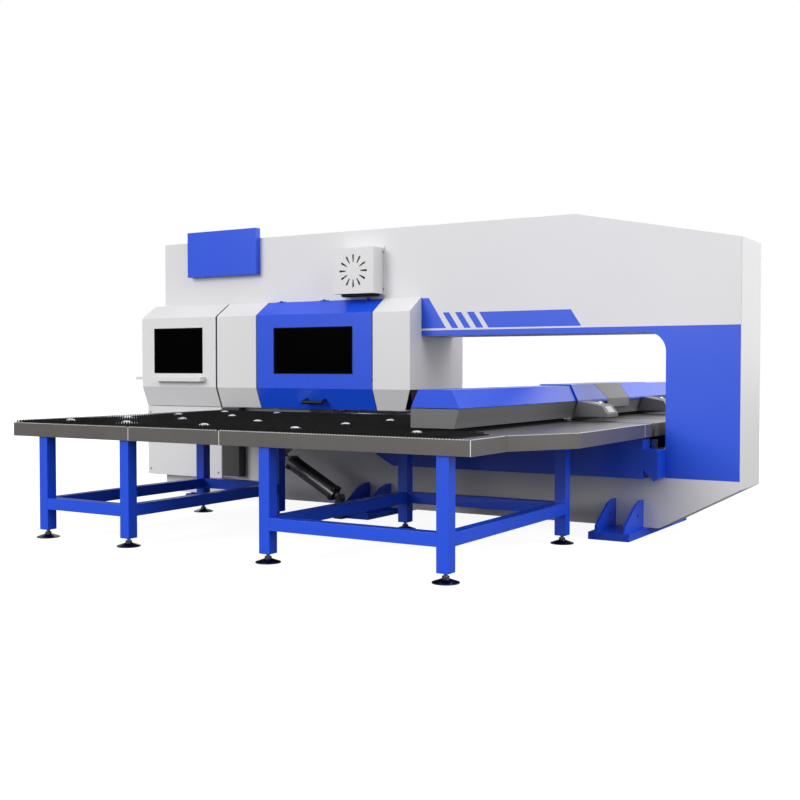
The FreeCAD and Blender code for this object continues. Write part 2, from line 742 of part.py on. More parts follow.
def leg_places():
    """Middle of every leg."""
    for side in (-1, 1):
        for pair in LEG_XS:
            for x in pair:
                for y in LEG_YS:
                    yield x, side * y


def table_legs():
    """Square tube legs, each with an end plate for its levelling foot."""
    legs = []
    half = LEG / 2
    for x, y in leg_places():
        leg = box((x - half, x + half), (y - half, y + half), (LEG_BOTTOM, TABLE_TOP - TABLE_PLATE))
        bore = half - LEG_WALL
        leg = leg.cut(box((x - bore, x + bore), (y - bore, y + bore), (LEG_BOTTOM + 8, TABLE_TOP)))
        legs.append(leg.cut(rod("Z", (x, y), (LEG_BOTTOM - 1, LEG_BOTTOM + 9), 12.0)))
    return legs


def table_rails():
    """Square tube rails low down between the legs."""
    rails = []
    half = LEG / 2
    z = (RAIL_BOTTOM, RAIL_BOTTOM + LEG)
    for side in (-1, 1):
        for low_x, high_x in LEG_XS:
            for y in (side * LEG_YS[0], side * LEG_YS[1]):
                x = (low_x + half, high_x - half)
                rails.append(square_tube(x, (y - half, y + half), z, LEG_WALL, "X"))
            ends = sorted((side * LEG_YS[0], side * LEG_YS[1]))
            for x in (low_x, high_x):
                y = (ends[0] + half, ends[1] - half)
                rails.append(square_tube((x - half, x + half), y, z, LEG_WALL, "Y"))
    return rails


def table_feet():
    """Levelling feet: dished disc, neck and threaded stem."""
    feet = []
    for x, y in leg_places():
        disc = rod("Z", (x, y), (0, 6.0), 80.0)
        dish = Part.makeCone(80.0, 24.0, 20.0, V(x, y, 6.0))
        neck = rod("Z", (x, y), (26.0, 40.0), 22.0)
        feet.append(disc.fuse([dish, neck, rod("Z", (x, y), (40.0, 100.0), 12.0)]).removeSplitter())
    return feet


BRUSH_REAR = 1470.0
BRUSH_CORNER = (1700.0, -2180.0)
BRUSH_MARGIN = 12.0
BALL_PLACES_X = (-1660.0, -1090.0, -370.0, 395.0)
BALL_PLACES_Y = (-2340.0, -1765.0, -1190.0, -610.0)
CUP_RADIUS = 80.0
CROWN_RADIUS = 62.0
CROWN_HEIGHT = 24.0


def brush_mats():
    """Brush carrier boards on every fixed table section, cut round the ball units."""
    edge = BRUSH_MARGIN
    front = -TABLE_HALF_WIDTH + edge
    left = [(TABLE_LEFT + edge, front), (LEFT_SEAM - edge, front)]
    left += [(LEFT_SEAM - edge, -INNER_EDGE_Y - edge), (TABLE_LEFT + edge, -INNER_EDGE_Y - edge)]
    middle = [(LEFT_SEAM + edge, front), (RIGHT_SEAM - edge, front)]
    middle += [(RIGHT_SEAM - edge, FLAP_FRONT_Y - edge), (LEFT_SEAM + edge, FLAP_FRONT_Y - edge)]
    right = [
        (RIGHT_SEAM + edge, front),
        (BRUSH_CORNER[0], front),
        BRUSH_CORNER,
        (BRUSH_REAR, BRUSH_CORNER[1]),
        (BRUSH_REAR, -FOOT_GAP[1] - edge),
        (RIGHT_SEAM + edge, -FOOT_GAP[1] - edge),
    ]
    far_left = [(TABLE_LEFT + edge, front), (RIGHT_SEAM - edge, front)]
    far_left += [(RIGHT_SEAM - edge, -INNER_EDGE_Y - edge), (TABLE_LEFT + edge, -INNER_EDGE_Y - edge)]
    z = (TABLE_TOP, TABLE_TOP + BRUSH_BOARD)
    holes = [rod("Z", place_xy, (z[0] - 1, z[1] + 1), CUP_RADIUS + 2) for place_xy in ball_places()]
    near = [prism(corners, "XY", *z).cut(holes) for corners in (left, middle, right)]
    far = [across(prism(corners, "XY", *z).cut(holes)) for corners in (far_left, right)]
    return near + far


def ball_places():
    """Middle of every ball unit on the door side."""
    for x in BALL_PLACES_X:
        for y in BALL_PLACES_Y:
            yield x, y
    yield 1300.0, -2340.0


def on_flap(centre):
    """True where a ball unit stands on the work chute flap."""
    return LEFT_SEAM < centre[0] < RIGHT_SEAM and centre[1] > FLAP_FRONT_Y


def ball_unit(centre):
    """Flanged cup with its domed crown."""
    flange = rod("Z", centre, (TABLE_TOP, TABLE_TOP + 7), CUP_RADIUS)
    crown = Part.makeSphere(CROWN_RADIUS, V(centre[0], centre[1], TABLE_TOP + CROWN_HEIGHT - CROWN_RADIUS))
    crown = crown.common(rod("Z", centre, (TABLE_TOP, TABLE_TOP + 30), CROWN_RADIUS))
    return flange.fuse(crown).removeSplitter()


def ball_units():
    """All ball units on the fixed sections of both sides."""
    near = [ball_unit(centre) for centre in ball_places() if not on_flap(centre)]
    return near + [across(ball_unit(centre)) for centre in ball_places()]


# --- work chute flap -------------------------------------------------------------------------------
FLAP_X = (-758.0, 22.0)
FLAP_Y = (-1292.0, -432.0)
HINGE_ROD = 8.0
SLACK_HOLE = 20.0
LUG_YS = (-1180.0, -520.0)
LUG_RADIUS = 13.0


def flap_plate():
    """Hinged table section with stiffeners, hinge rod and operating lever."""
    plate = box(FLAP_X, FLAP_Y, (TABLE_TOP - TABLE_PLATE, TABLE_TOP))
    bars = []
    for y in (FLAP_Y[0] + 20, CYLINDER_Y - 20, FLAP_Y[1] - 60):
        bars.append(box((FLAP_X[0], FLAP_X[1] - 20), (y, y + 40), (779.0, TABLE_TOP - TABLE_PLATE)))
    axle = rod("Y", FLAP_AXIS, (FLAP_Y[0] + 20, FLAP_Y[1] - 20), HINGE_ROD)
    arm = [
        (-745.0, 790.0),
        (-660.0, 790.0),
        (-690.0, 700.0, 30.0),
        (LEVER_PIN[0] + 16, LEVER_PIN[1] - 32, 26.0),
        (LEVER_PIN[0] - 32, LEVER_PIN[1] + 14, 26.0),
        (-750.0, 712.0, 30.0),
    ]
    lever = prism(arm, "XZ", CYLINDER_Y - 8, CYLINDER_Y + 8)
    lever = lever.cut(rod("Y", LEVER_PIN, (CYLINDER_Y - 9, CYLINDER_Y + 9), SLACK_HOLE))
    return plate.fuse(bars + [axle, lever]).removeSplitter()


def flap_board():
    """Brush carrier board on the flap, cut round its ball units."""
    edge = BRUSH_MARGIN
    x = (FLAP_X[0] + edge, FLAP_X[1] - edge)
    y = (FLAP_Y[0] + edge, FLAP_Y[1] - edge)
    z = (TABLE_TOP, TABLE_TOP + BRUSH_BOARD)
    board = box(x, y, z)
    centres = [centre for centre in ball_places() if on_flap(centre)]
    board = board.cut([rod("Z", centre, (z[0] - 1, z[1] + 1), CUP_RADIUS + 2) for centre in centres])
    return [board] + [ball_unit(centre) for centre in centres]


def flap_mounts():
    """Hinge lugs on the left table section, and the foot bracket of the air cylinder."""
    seam = LEFT_SEAM - SEAM_GAP / 2
    lugs = []
    for y in LUG_YS:
        span = (y - 9, y + 9)
        web = box((seam, FLAP_AXIS[0]), span, (FLAP_AXIS[1] - LUG_RADIUS, FLAP_AXIS[1] + LUG_RADIUS))
        lug = web.fuse(rod("Y", FLAP_AXIS, span, LUG_RADIUS))
        lugs.append(lug.cut(rod("Y", FLAP_AXIS, (y - 10, y + 10), HINGE_ROD + RUNNING)).removeSplitter())
    x = (CYLINDER_FOOT[0] - 40, CYLINDER_FOOT[0] + 40)
    bracket = box(x, (CYLINDER_Y - 35, -BASE_HALF_WIDTH), (0, 110.0))
    for y in (CYLINDER_Y - 35, CYLINDER_Y + 19):
        ear = box((x[0] + 15, x[1] - 15), (y, y + 14), (100.0, CYLINDER_FOOT[1]))
        bracket = bracket.fuse([ear, rod("Y", CYLINDER_FOOT, (y, y + 14), 25.0)])
    pin = rod("Y", CYLINDER_FOOT, (CYLINDER_Y - 36, CYLINDER_Y + 33), 10.0)
    lugs.append(bracket.fuse(pin).removeSplitter())
    return lugs


CYLINDER_TURN = math.degrees(math.atan2(LEVER_PIN[1] - CYLINDER_FOOT[1], LEVER_PIN[0] - CYLINDER_FOOT[0]))
CYLINDER_REACH = math.hypot(LEVER_PIN[0] - CYLINDER_FOOT[0], LEVER_PIN[1] - CYLINDER_FOOT[1])
BARREL = (50.0, 560.0)
BARREL_RADIUS = 50.0
PISTON_ROD = 13.0


def along_cylinder(shape):
    """Shape drawn along +X from the foot pin, turned into its place."""
    shape.rotate(V(0, 0, 0), V(0, -1, 0), CYLINDER_TURN)
    shape.translate(V(CYLINDER_FOOT[0], CYLINDER_Y, CYLINDER_FOOT[1]))
    return shape


def cylinder_barrel():
    """Barrel with square end caps, foot eye and the bore of the piston rod."""
    barrel = rod("X", (0, 0), BARREL, BARREL_RADIUS)
    for low in (BARREL[0], BARREL[1] - 34):
        barrel = barrel.fuse(box((low, low + 34), (-46.0, 46.0), (-55.0, 55.0)))
    eye = rod("Y", (0, 0), (-18.0, 18.0), 24.0).fuse(box((0, BARREL[0]), (-18.0, 18.0), (-20.0, 20.0)))
    barrel = barrel.fuse(eye).cut(rod("Y", (0, 0), (-19.0, 19.0), 10.0 + RUNNING))
    barrel = barrel.cut(rod("X", (0, 0), (BARREL[0] + 30, BARREL[1] + 1), PISTON_ROD + RUNNING))
    return along_cylinder(barrel.removeSplitter())


def cylinder_rod():
    """Piston rod with a fork and the pin that works in the lever's slack hole."""
    root = CYLINDER_REACH - 76
    stem = rod("X", (0, 0), (BARREL[0] + 60, root - 10), PISTON_ROD)
    fork = box((root - 18, root), (-25.0, 25.0), (-22.0, 22.0))
    ears = [box((root, CYLINDER_REACH + 18), y, (-22.0, 22.0)) for y in ((-25.0, -13.0), (13.0, 25.0))]
    pin = rod("Y", (CYLINDER_REACH, 0), (-28.0, 28.0), 7.0)
    return along_cylinder(stem.fuse([fork] + ears + [pin]).removeSplitter())


# --- side girders, beam and carriage ------------------------------------------------------------------
GIRDER_Y = -420.0
GIRDER_Z = (420.0, 700.0)
GIRDER_X = (-220.0, 2030.0)


def side_girder():
    """C-shaped girder welded along the frame, open towards it, with its end bracket."""
    low, high = GIRDER_Z
    profile = [
        (GIRDER_X[0], high),
        (GIRDER_X[0], low + 85),
        (GIRDER_X[0] + 155, low),
        (GIRDER_X[1], low),
        (GIRDER_X[1], high),
    ]
    wall = 10.0
    body = prism(profile, "XZ", GIRDER_Y, -FRAME_HALF_WIDTH)
    body = body.cut(prism(offset_line(profile, wall, closed=True), "XZ", GIRDER_Y + wall, -FRAME_HALF_WIDTH))
    end = [
        (GIRDER_X[1], 630.0),
        (GIRDER_X[1], 490.0),
        (2106.0, 405.0),
        (THROAT_REAR, 427.0),
        (THROAT_REAR, 630.0),
    ]
    return body, prism(end, "XZ", GIRDER_Y, -FRAME_HALF_WIDTH)


SLIDE_RAIL = 12.0
RAIL_TOP = 720.0
RAIL_X = (-80.0, 2000.0)


def y_guides():
    """Guide rails on both girders, the fixed screw and its end blocks."""
    pieces = []
    for side in (-1, 1):
        y = side * RAIL_Y
        pieces.append(box(RAIL_X, (y - SLIDE_RAIL, y + SLIDE_RAIL), (GIRDER_Z[1], RAIL_TOP)))
    pieces.append(rod("X", (SCREW_Y, SCREW_Z), (100.0, 2070.0), 16.0))
    for x in (100.0, 2040.0):
        block = box((x, x + 30), (SCREW_Y - 22, SCREW_Y + 30), (THROAT_BOTTOM, SCREW_Z + 30))
        pieces.append(block.cut(rod("X", (SCREW_Y, SCREW_Z), (x - 1, x + 31), 16.0)))
    return pieces


BEAM_CORE_X = (1200.0, 1420.0)
BEAM_CORE_Z = (862.0, 1050.0)
CORE_HALF = 2110.0
WAGON_X = (1215.0, 1405.0)


def beam_core():
    """Hollow square beam across the tables."""
    return square_tube(BEAM_CORE_X, (-CORE_HALF, CORE_HALF), BEAM_CORE_Z, 10.0, "Y")


def beam_feet():
    """Feet that stand through the table gaps on the girder rails, and the driven nut."""
    feet = []
    gap = 0.5
    for side in (-1, 1):
        y = side * RAIL_Y
        wagon = box(WAGON_X, (y - 29, y + 29), (706.0, 745.0))
        groove_y = (y - SLIDE_RAIL - gap, y + SLIDE_RAIL + gap)
        wagon = wagon.cut(box((0, 3000.0), groove_y, (700.0, RAIL_TOP + gap)))
        post = box(WAGON_X, (y - 15, y + 15), (745.0, BEAM_CORE_Z[0]))
        feet.append(wagon.fuse(post).removeSplitter())
    arm = box((1270.0, 1350.0), (-RAIL_Y + 29, SCREW_Y + 25), (706.0, 718.0))
    nut = box((1270.0, 1350.0), (SCREW_Y - 22, SCREW_Y + 25), (635.0, 706.0))
    motor = box((1350.0, 1500.0), (SCREW_Y + 25, SCREW_Y + 115), (620.0, 706.0))
    carrier = box((1335.0, 1350.0), (SCREW_Y + 25, SCREW_Y + 115), (620.0, 706.0))
    nut = nut.fuse([arm, motor, carrier])
    feet.append(nut.cut(rod("X", (SCREW_Y, SCREW_Z), (1200.0, 1500.0), 16.0 + RUNNING)).removeSplitter())
    return feet


BEAM_PROFILE = [
    (BEAM_REAR, BEAM_EDGE_Z),
    (1430.0, BEAM_TOP),
    (1193.0, BEAM_TOP),
    (BEAM_FRONT, BEAM_EDGE_Z),
]


def beam_cover():
    """Hipped cover over the whole beam with closed ends."""
    shell = folded(BEAM_PROFILE, SHEET, "XZ", -BEAM_HALF, BEAM_HALF)
    ends = [prism(BEAM_PROFILE, "XZ", y, y + SHEET) for y in (-BEAM_HALF, BEAM_HALF - SHEET)]
    return shell.fuse(ends).removeSplitter()


def beam_skirt():
    """Lower casing: the slanted rear side and both ends, open towards the turrets."""
    joint = BEAM_EDGE_Z - 4
    rear = [(1447.0, BEAM_LOW), (1455.0, BEAM_LOW + 34), (BEAM_REAR - 1.2, joint)]
    shell = folded(rear, SHEET, "XZ", -BEAM_HALF, BEAM_HALF)
    face = rear + [(BEAM_FRONT, joint), (BEAM_FRONT, BEAM_LOW)]
    ends = [prism(face, "XZ", y, y + SHEET) for y in (-BEAM_HALF, BEAM_HALF - SHEET)]
    return shell.fuse(ends).removeSplitter()


X_RAIL_X = (1184.0, 1200.0)
X_RAIL_ZS = (890.0, 1010.0)


def x_rails():
    """Two guide rails and the rack on the front face of the beam."""
    y = (-CORE_HALF, CORE_HALF)
    rails = [box(X_RAIL_X, y, (z, z + 20)) for z in X_RAIL_ZS]
    rails.append(box((1190.0, 1200.0), y, (940.0, 960.0)))
    return rails


CARRIAGE_GAP = 4.0
CARRIAGE_SHEET = 5.0
SHELL_STEP = 3.0
CARRIAGE_PLATE_X = (1127.0, 1180.0)


def carriage_plate():
    """Carriage with long shoes round both rails."""
    z = (870.0, 955.0)
    plate = box(CARRIAGE_PLATE_X, CARRIAGE, z)
    shoe = box((1150.0, 1198.0), CARRIAGE, (882.0, 918.0))
    groove = box((X_RAIL_X[0] - 0.5, 1300.0), (-3000.0, 3000.0), (X_RAIL_ZS[0] - 0.5, X_RAIL_ZS[0] + 20.5))
    return plate.fuse(shoe).cut(groove).removeSplitter()


def carriage_shell(low):
    """Bent plate that bridges the beam from the carriage plate down to a level on its rear side."""
    outer = offset_line(BEAM_PROFILE, -(CARRIAGE_GAP + CARRIAGE_SHEET))
    rear_x = outer[0][0] + SHELL_STEP
    front_x = CARRIAGE_PLATE_X[0] - CARRIAGE_SHEET
    line = [(rear_x, low), (rear_x, outer[0][1])] + outer[1:3]
    line += [(front_x, outer[3][1] - 2), (front_x, 870.0)]
    return folded(line, CARRIAGE_SHEET, "XZ", *CARRIAGE)


CENTRE_LOW = 900.0
SIDE_LOW = 953.0
CENTRE_PLAN = [
    (1050.0, 150.0),
    (1440.0, 150.0),
    (1500.0, 325.0),
    (1500.0, 790.0),
    (1440.0, 700.0),
    (1050.0, 700.0),
]


def carriage_centre():
    """Middle cover of the carriage with slanted joints and a blank plate."""
    return carriage_shell(CENTRE_LOW).common(prism(CENTRE_PLAN, "XY", 800.0, 1200.0))


def carriage_sides():
    """Cover panels on each side of the middle one."""
    wide = offset_line(CENTRE_PLAN, -SHEET, closed=True)
    return carriage_shell(SIDE_LOW).cut(prism(wide, "XY", 800.0, 1200.0)).Solids


ARM_WIDTH = 230.0
ARM_YS = (CARRIAGE[0], CARRIAGE[1] - ARM_WIDTH)
ARM_START = offset_line(BEAM_PROFILE, -(CARRIAGE_GAP + CARRIAGE_SHEET))[0][0] + SHELL_STEP


def arm_housings():
    """Wedge-shaped housings on the carriage's rear side, their inner face along the beam's skirt."""
    profile = [(ARM_START, SIDE_LOW - 3), (ARM_START, BEAM_EDGE_Z), (1676.0, 933.0), (1722.0, 872.0)]
    profile += [(1722.0, 848.0), (1455.0, 848.0), (1462.0, 876.0), (1484.0, SIDE_LOW - 3)]
    return [prism(profile, "XZ", y, y + ARM_WIDTH) for y in ARM_YS]


def clamp_bodies():
    """Work clamps: body, lower jaw and hinge pin."""
    bodies = []
    for y in CLAMP_YS:
        body = box((1030.0, CARRIAGE_PLATE_X[0] - CARRIAGE_SHEET), (y - 58, y + 58), (840.0, 935.0))
        body = body.cut(box((1029.0, 1100.0), (y - 45.5, y + 45.5), (845.0, 857.0)))
        nose = prism([(1030.0, 880.0), (1030.0, 936.0), (1070.0, 936.0)], "XZ", y - 59, y + 59)
        jaw = box((890.0, 1030.0), (y - 45, y + 45), (840.0, 845.0))
        pin = rod("Y", JAW_PIN, (y - 58, y + 58), 2.0)
        bodies.append(body.cut(nose).fuse([jaw, pin]).removeSplitter())
    return bodies


def clamp_jaw(y):
    """Hinged upper jaw."""
    profile = [(890.0, 846.0), (1092.0, 846.0), (1092.0, 853.0), (900.0, 853.0), (890.0, 850.0)]
    jaw = prism(profile, "XZ", y - 44, y + 44)
    return jaw.cut(rod("Y", JAW_PIN, (y - 45, y + 45), 2.0 + RUNNING))


# --- write every node -------------------------------------------------------------------------------
os.makedirs("parts", exist_ok=True)

save("frame_plate_near", frame_plate())
save("frame_plate_far", across(frame_plate()))
save("frame_webs", *frame_webs())
save("base_blocks", *[piece for start in BASE_STARTS for piece in base_block(start)], *levelling_pads())
save("sign_board", sign_board())
save("fan_box", *fan_box())
save("fan_duct", fan_duct())
save("fan_rotor", fan_rotor())

save("console_cover", console_cover())
save("console_screen", box(SCREEN[0], (-COVER_Y - 2, -COVER_Y + 14), SCREEN[1]))
save("console_shelves", *console_shelves())
save("front_covers", *front_covers())
save("far_cover", far_cover())
save("end_panels", *end_panels())
save("lower_cabinet", *lower_cabinet())
save("door_shell", door_shell())
save("door_window", door_window())
save("door_handle", door_handle())
save("door_hinges", *door_hinges())

save("bearing_housings", head_housing(), *bearing_blocks())
save("bearings", *bearings())
save("upper_turret_disc", turret_disc(UPPER_DISC))
save("punch_holders", *punch_holders())
save("upper_spindle", upper_spindle())
save("lower_turret_disc", turret_disc(LOWER_DISC))
save("die_holders", *die_holders())
save("lower_spindle", lower_spindle())
save("drive_shaft", drive_shaft())
save("turret_belts", *turret_belts())
save("ram", ram())
save("servo_drives", ram_gearbox(), *servo_motors())

save("table_near_left", table_near_left())
save("table_near_middle", table_section(LEFT_SEAM + 1, RIGHT_SEAM - 1, -TABLE_HALF_WIDTH, FLAP_FRONT_Y))
save("table_near_right", table_right())
save("table_centre", table_section(RIGHT_SEAM + 1, TABLE_REAR, -FOOT_GAP[0], FOOT_GAP[0]))
save("table_far_left", across(table_section(TABLE_LEFT, RIGHT_SEAM - 1, -TABLE_HALF_WIDTH, -INNER_EDGE_Y)))
save("table_far_right", across(table_right()))
save("table_legs", *table_legs())
save("table_rails", *table_rails())
save("table_feet", *table_feet())
save("brush_mats", *brush_mats())
save("ball_units", *ball_units())

save("flap_plate", flap_plate())
save("flap_board", *flap_board())
save("flap_mounts", *flap_mounts())
save("cylinder_barrel", cylinder_barrel())
save("cylinder_rod", cylinder_rod())

near_girder = side_girder()
save("side_girders", *near_girder, *[across(piece) for piece in near_girder])
save("y_guides", *y_guides())
save("beam_core", beam_core())
save("beam_feet", *beam_feet())
save("beam_cover", beam_cover())
save("beam_skirt", beam_skirt())
save("x_rails", *x_rails())
save("carriage_plate", carriage_plate())
save("carriage_centre", carriage_centre())
save("carriage_sides", *carriage_sides())
save("arm_housings", *arm_housings())
save("clamp_bodies", *clamp_bodies())
save("clamp_jaws", *[clamp_jaw(y) for y in CLAMP_YS])
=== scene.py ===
"""Looks of the CNC turret punch press: finishes, brush tufts, paint fields and small fittings.

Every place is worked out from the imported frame. Lengths in the dataclasses are millimetres
and become metres through MM. The row frame has +X towards the rear column, +Y away from the
door side and +Z up.
"""
import json
import logging
import math
import random
from dataclasses import dataclass, field
from enum import Enum

import bpy
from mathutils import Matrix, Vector


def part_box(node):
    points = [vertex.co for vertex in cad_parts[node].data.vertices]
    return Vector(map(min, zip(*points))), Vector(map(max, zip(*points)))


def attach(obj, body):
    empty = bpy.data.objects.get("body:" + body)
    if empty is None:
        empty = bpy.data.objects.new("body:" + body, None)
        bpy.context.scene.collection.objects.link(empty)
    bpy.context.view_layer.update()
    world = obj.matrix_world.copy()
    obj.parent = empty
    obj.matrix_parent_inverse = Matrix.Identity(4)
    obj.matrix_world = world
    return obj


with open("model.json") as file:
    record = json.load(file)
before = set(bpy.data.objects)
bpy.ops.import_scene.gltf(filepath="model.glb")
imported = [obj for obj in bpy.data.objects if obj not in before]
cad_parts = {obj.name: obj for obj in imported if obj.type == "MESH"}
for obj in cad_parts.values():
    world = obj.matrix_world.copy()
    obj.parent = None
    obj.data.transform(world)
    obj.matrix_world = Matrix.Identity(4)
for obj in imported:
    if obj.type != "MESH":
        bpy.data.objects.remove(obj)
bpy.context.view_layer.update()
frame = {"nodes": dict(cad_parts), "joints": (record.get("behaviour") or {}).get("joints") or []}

LOG = logging.getLogger("punch_press")
MM = 0.001
Point2 = tuple[float, float]
Point3 = tuple[float, float, float]

# Places on the machine in millimetres, from the frame's middle: the throat's rear side and the
# radius of its upper rear corner, where the brush boards end, and the tables' cut corners.
THROAT_REAR = 2142.0
THROAT_CORNER = 140.0
BRUSH_END = 1470.0
BRUSH_CORNER = (1700.0, 2180.0)
TABLE_CORNER = (1827.0, 2199.5, 1731.5)
TABLE_JOINT_Y = 544.0


# --- colour and node helpers -----------------------------------------------------------------
def linear(code: str) -> tuple[float, float, float, float]:
    """Turns an sRGB hex colour into linear RGBA.

    Args:
        code: Colour such as "#DCDBDC".

    Returns:
        Linear red, green, blue and an alpha of 1.
    """
    channels = [int(code[index : index + 2], 16) / 255 for index in (1, 3, 5)]
    curve = [c / 12.92 if c <= 0.04045 else ((c + 0.055) / 1.055) ** 2.4 for c in channels]
    return (*curve, 1.0)


def add_node(tree: bpy.types.NodeTree, kind: str, settings: dict, links: dict) -> bpy.types.Node:
    """Adds a node, sets its values and joins its inputs.

    Args:
        tree: The node tree that takes the node.
        kind: Blender's name of the node type.
        settings: Attribute names, or input names and numbers, with their values.
        links: Input names or numbers with the output socket that feeds each one.

    Returns:
        The new node.
    """
    node = tree.nodes.new(kind)
    for key, value in settings.items():
        if isinstance(key, str) and hasattr(node, key):
            setattr(node, key, value)
        else:
            node.inputs[key].default_value = value
    for key, source in links.items():
        tree.links.new(source, node.inputs[key])
    return node


class Grain(Enum):
    """How a surface was made, which sets the pattern of its bump and gloss."""

    POWDER = "powder coat"
    BRUSHED = "brushed along X"
    TURNED = "turned round Z"
    CAST = "sand cast"
    MOULDED = "moulded"
    POLISHED = "polished"


@dataclass(frozen=True)
class Finish:
    """One real finish, and the procedural material that stands for it.

    Attributes:
        name: Material and process, used as the material's name.
        colour: Main sRGB colour.
        shade: sRGB colour of its slow drift from place to place.
        grain: How the surface was made.
        grain_mm: Real size of the pattern in millimetres.
        drift_mm: Real size of the colour drift in millimetres.
        metallic: 1 for bare metal.
        roughness: Middle roughness.
        relief_mm: Height of the bump.
        ior: Refractive index, None for a metal's default.
        specular: Specular level.
    """

    name: str
    colour: str
    shade: str
    grain: Grain
    grain_mm: float
    drift_mm: float = 600.0
    metallic: float = 0.0
    roughness: float = 0.4
    relief_mm: float = 0.2
    ior: float | None = None
    specular: float = 0.5

    def material(self) -> bpy.types.Material:
        """Returns the finish's material, made once."""
        known = bpy.data.materials.get(self.name)
        return known if known else self.build()

    def build(self) -> bpy.types.Material:
        """Makes the node material.

        Returns:
            The new material.
        """
        material = bpy.data.materials.new(self.name)
        material.use_nodes = True
        tree = material.node_tree
        tree.nodes.clear()
        place = add_node(tree, "ShaderNodeTexCoord", {}, {}).outputs["Object"]
        pattern = self.pattern(tree, place)
        drift = add_node(
            tree,
            "ShaderNodeTexNoise",
            {"Scale": 1 / (self.drift_mm * MM), "Detail": 3.0, "Roughness": 0.5},
            {"Vector": place},
        )
        tint = add_node(
            tree,
            "ShaderNodeMix",
            {"data_type": "RGBA", 6: linear(self.colour), 7: linear(self.shade)},
            {0: drift.outputs["Fac"]},
        )
        gloss = add_node(
            tree,
            "ShaderNodeMapRange",
            {"To Min": max(0.02, self.roughness - 0.08), "To Max": min(1.0, self.roughness + 0.08)},
            {"Value": pattern},
        )
        relief = add_node(
            tree,
            "ShaderNodeBump",
            {"Strength": 0.5, "Distance": self.relief_mm * MM},
            {"Height": pattern},
        )
        settings = {"Metallic": self.metallic, "Specular IOR Level": self.specular}
        if self.ior:
            settings["IOR"] = self.ior
        shader = add_node(
            tree,
            "ShaderNodeBsdfPrincipled",
            settings,
            {
                "Base Color": tint.outputs[2],
                "Roughness": gloss.outputs["Result"],
                "Normal": relief.outputs["Normal"],
            },
        )
        add_node(tree, "ShaderNodeOutputMaterial", {}, {"Surface": shader.outputs["BSDF"]})
        return material

    def pattern(self, tree: bpy.types.NodeTree, place: bpy.types.NodeSocket) -> bpy.types.NodeSocket:
        """Adds the nodes of the surface pattern.

        Args:
            tree: The material's node tree.
            place: Position output in metres.

        Returns:
            A grey value between 0 and 1.
        """
        scale = 1 / (self.grain_mm * MM)
        stretch = {
            Grain.BRUSHED: (0.02, 1.0, 1.0),
            Grain.TURNED: (1.0, 1.0, 0.15),
        }.get(self.grain, (1.0, 1.0, 1.0))
        mapped = add_node(tree, "ShaderNodeMapping", {"Scale": stretch}, {"Vector": place})
        if self.grain is Grain.CAST:
            cells = add_node(
                tree,
                "ShaderNodeTexVoronoi",
                {"feature": "SMOOTH_F1", "Scale": scale, "Smoothness": 0.8},
                {"Vector": mapped.outputs["Vector"]},
            )
            return cells.outputs["Distance"]
        detail = 1.0 if self.grain in (Grain.POWDER, Grain.MOULDED) else 4.0
        noise = add_node(
            tree,
            "ShaderNodeTexNoise",
            {"Scale": scale, "Detail": detail, "Roughness": 0.6},
            {"Vector": mapped.outputs["Vector"]},
        )
        return noise.outputs["Fac"]


# Textured powder coat on welded plate: pale grey, soft highlights. Its real 1.5 mm peel is drawn
# at 5 mm, because finer than that it would not show.
BODY_COAT = Finish(
    "powder_coated_plate", "#DDDCDE", "#D6D5D8", Grain.POWDER, 5.0, 900.0, roughness=0.42, ior=1.5
)
# The same coat on thin folded sheet, a touch smoother and whiter.
COVER_COAT = Finish(
    "powder_coated_folded_sheet", "#DEDDDE", "#D8D7D9", Grain.POWDER, 4.0, 700.0, roughness=0.38, ior=1.5
)
# Gloss blue enamel: saturated, with a soft wet highlight.
BLUE_COAT = Finish(
    "gloss_blue_enamel", "#1850E0", "#164AD6", Grain.POWDER, 5.0, 800.0, roughness=0.3, ior=1.5
)
# Blue paint film sprayed over the grey plate inside a mask: the same blue, a little flatter.
BLUE_FILM = Finish(
    "masked_blue_paint", "#1850DC", "#164AD2", Grain.POWDER, 4.0, 900.0, roughness=0.34, ior=1.5
)
# Mid grey enamel on folded sheet: flat and quiet under the blue.
GREY_COAT = Finish(
    "grey_enamel_sheet", "#6B6B6C", "#616163", Grain.POWDER, 4.0, 500.0, roughness=0.42, ior=1.5
)
# Dark grey enamel on the service panel and small brackets: nearly black, with a dull sheen.
DARK_COAT = Finish("dark_grey_enamel", "#3A3A3C", "#333335", Grain.POWDER, 4.0, 400.0, roughness=0.5, ior=1.5)
# Lacquered steel sheet with its rolling lines along X: warm grey with a soft streaky gloss.
TABLE_SHEET = Finish(
    "lacquered_rolled_steel",
    "#6C6967",
    "#5C5957",
    Grain.BRUSHED,
    9.0,
    350.0,
    metallic=0.25,
    roughness=0.33,
    relief_mm=0.3,
    specular=0.4,
)
# Sheared steel edge, near white and barely metallic: the bright line along the edges is a painted glint.
GLINT_PAINTED_EDGE = Finish(
    "sheared_steel_painted_glint", "#F0EEEA", "#D2CFCA", Grain.BRUSHED, 3.0, 60.0, metallic=0.1, roughness=0.35
)
# Milled steel with fine tool marks: bright bare metal with soft streaks.
MACHINED = Finish(
    "milled_steel", "#B4B4B6", "#9C9C9F", Grain.TURNED, 3.0, 250.0,
    metallic=1.0, roughness=0.32, relief_mm=0.1,
)
# Ground and hardened tool steel: darker and closer grained.
HARDENED = Finish(
    "ground_tool_steel", "#8C8C90", "#77777B", Grain.TURNED, 2.5, 120.0,
    metallic=1.0, roughness=0.26, relief_mm=0.08,
)
# Turned bearing bronze: warm yellow among the steel of the head.
BRONZE = Finish(
    "turned_bearing_bronze", "#B58850", "#9C723F", Grain.TURNED, 2.5, 90.0, metallic=1.0, roughness=0.3
)
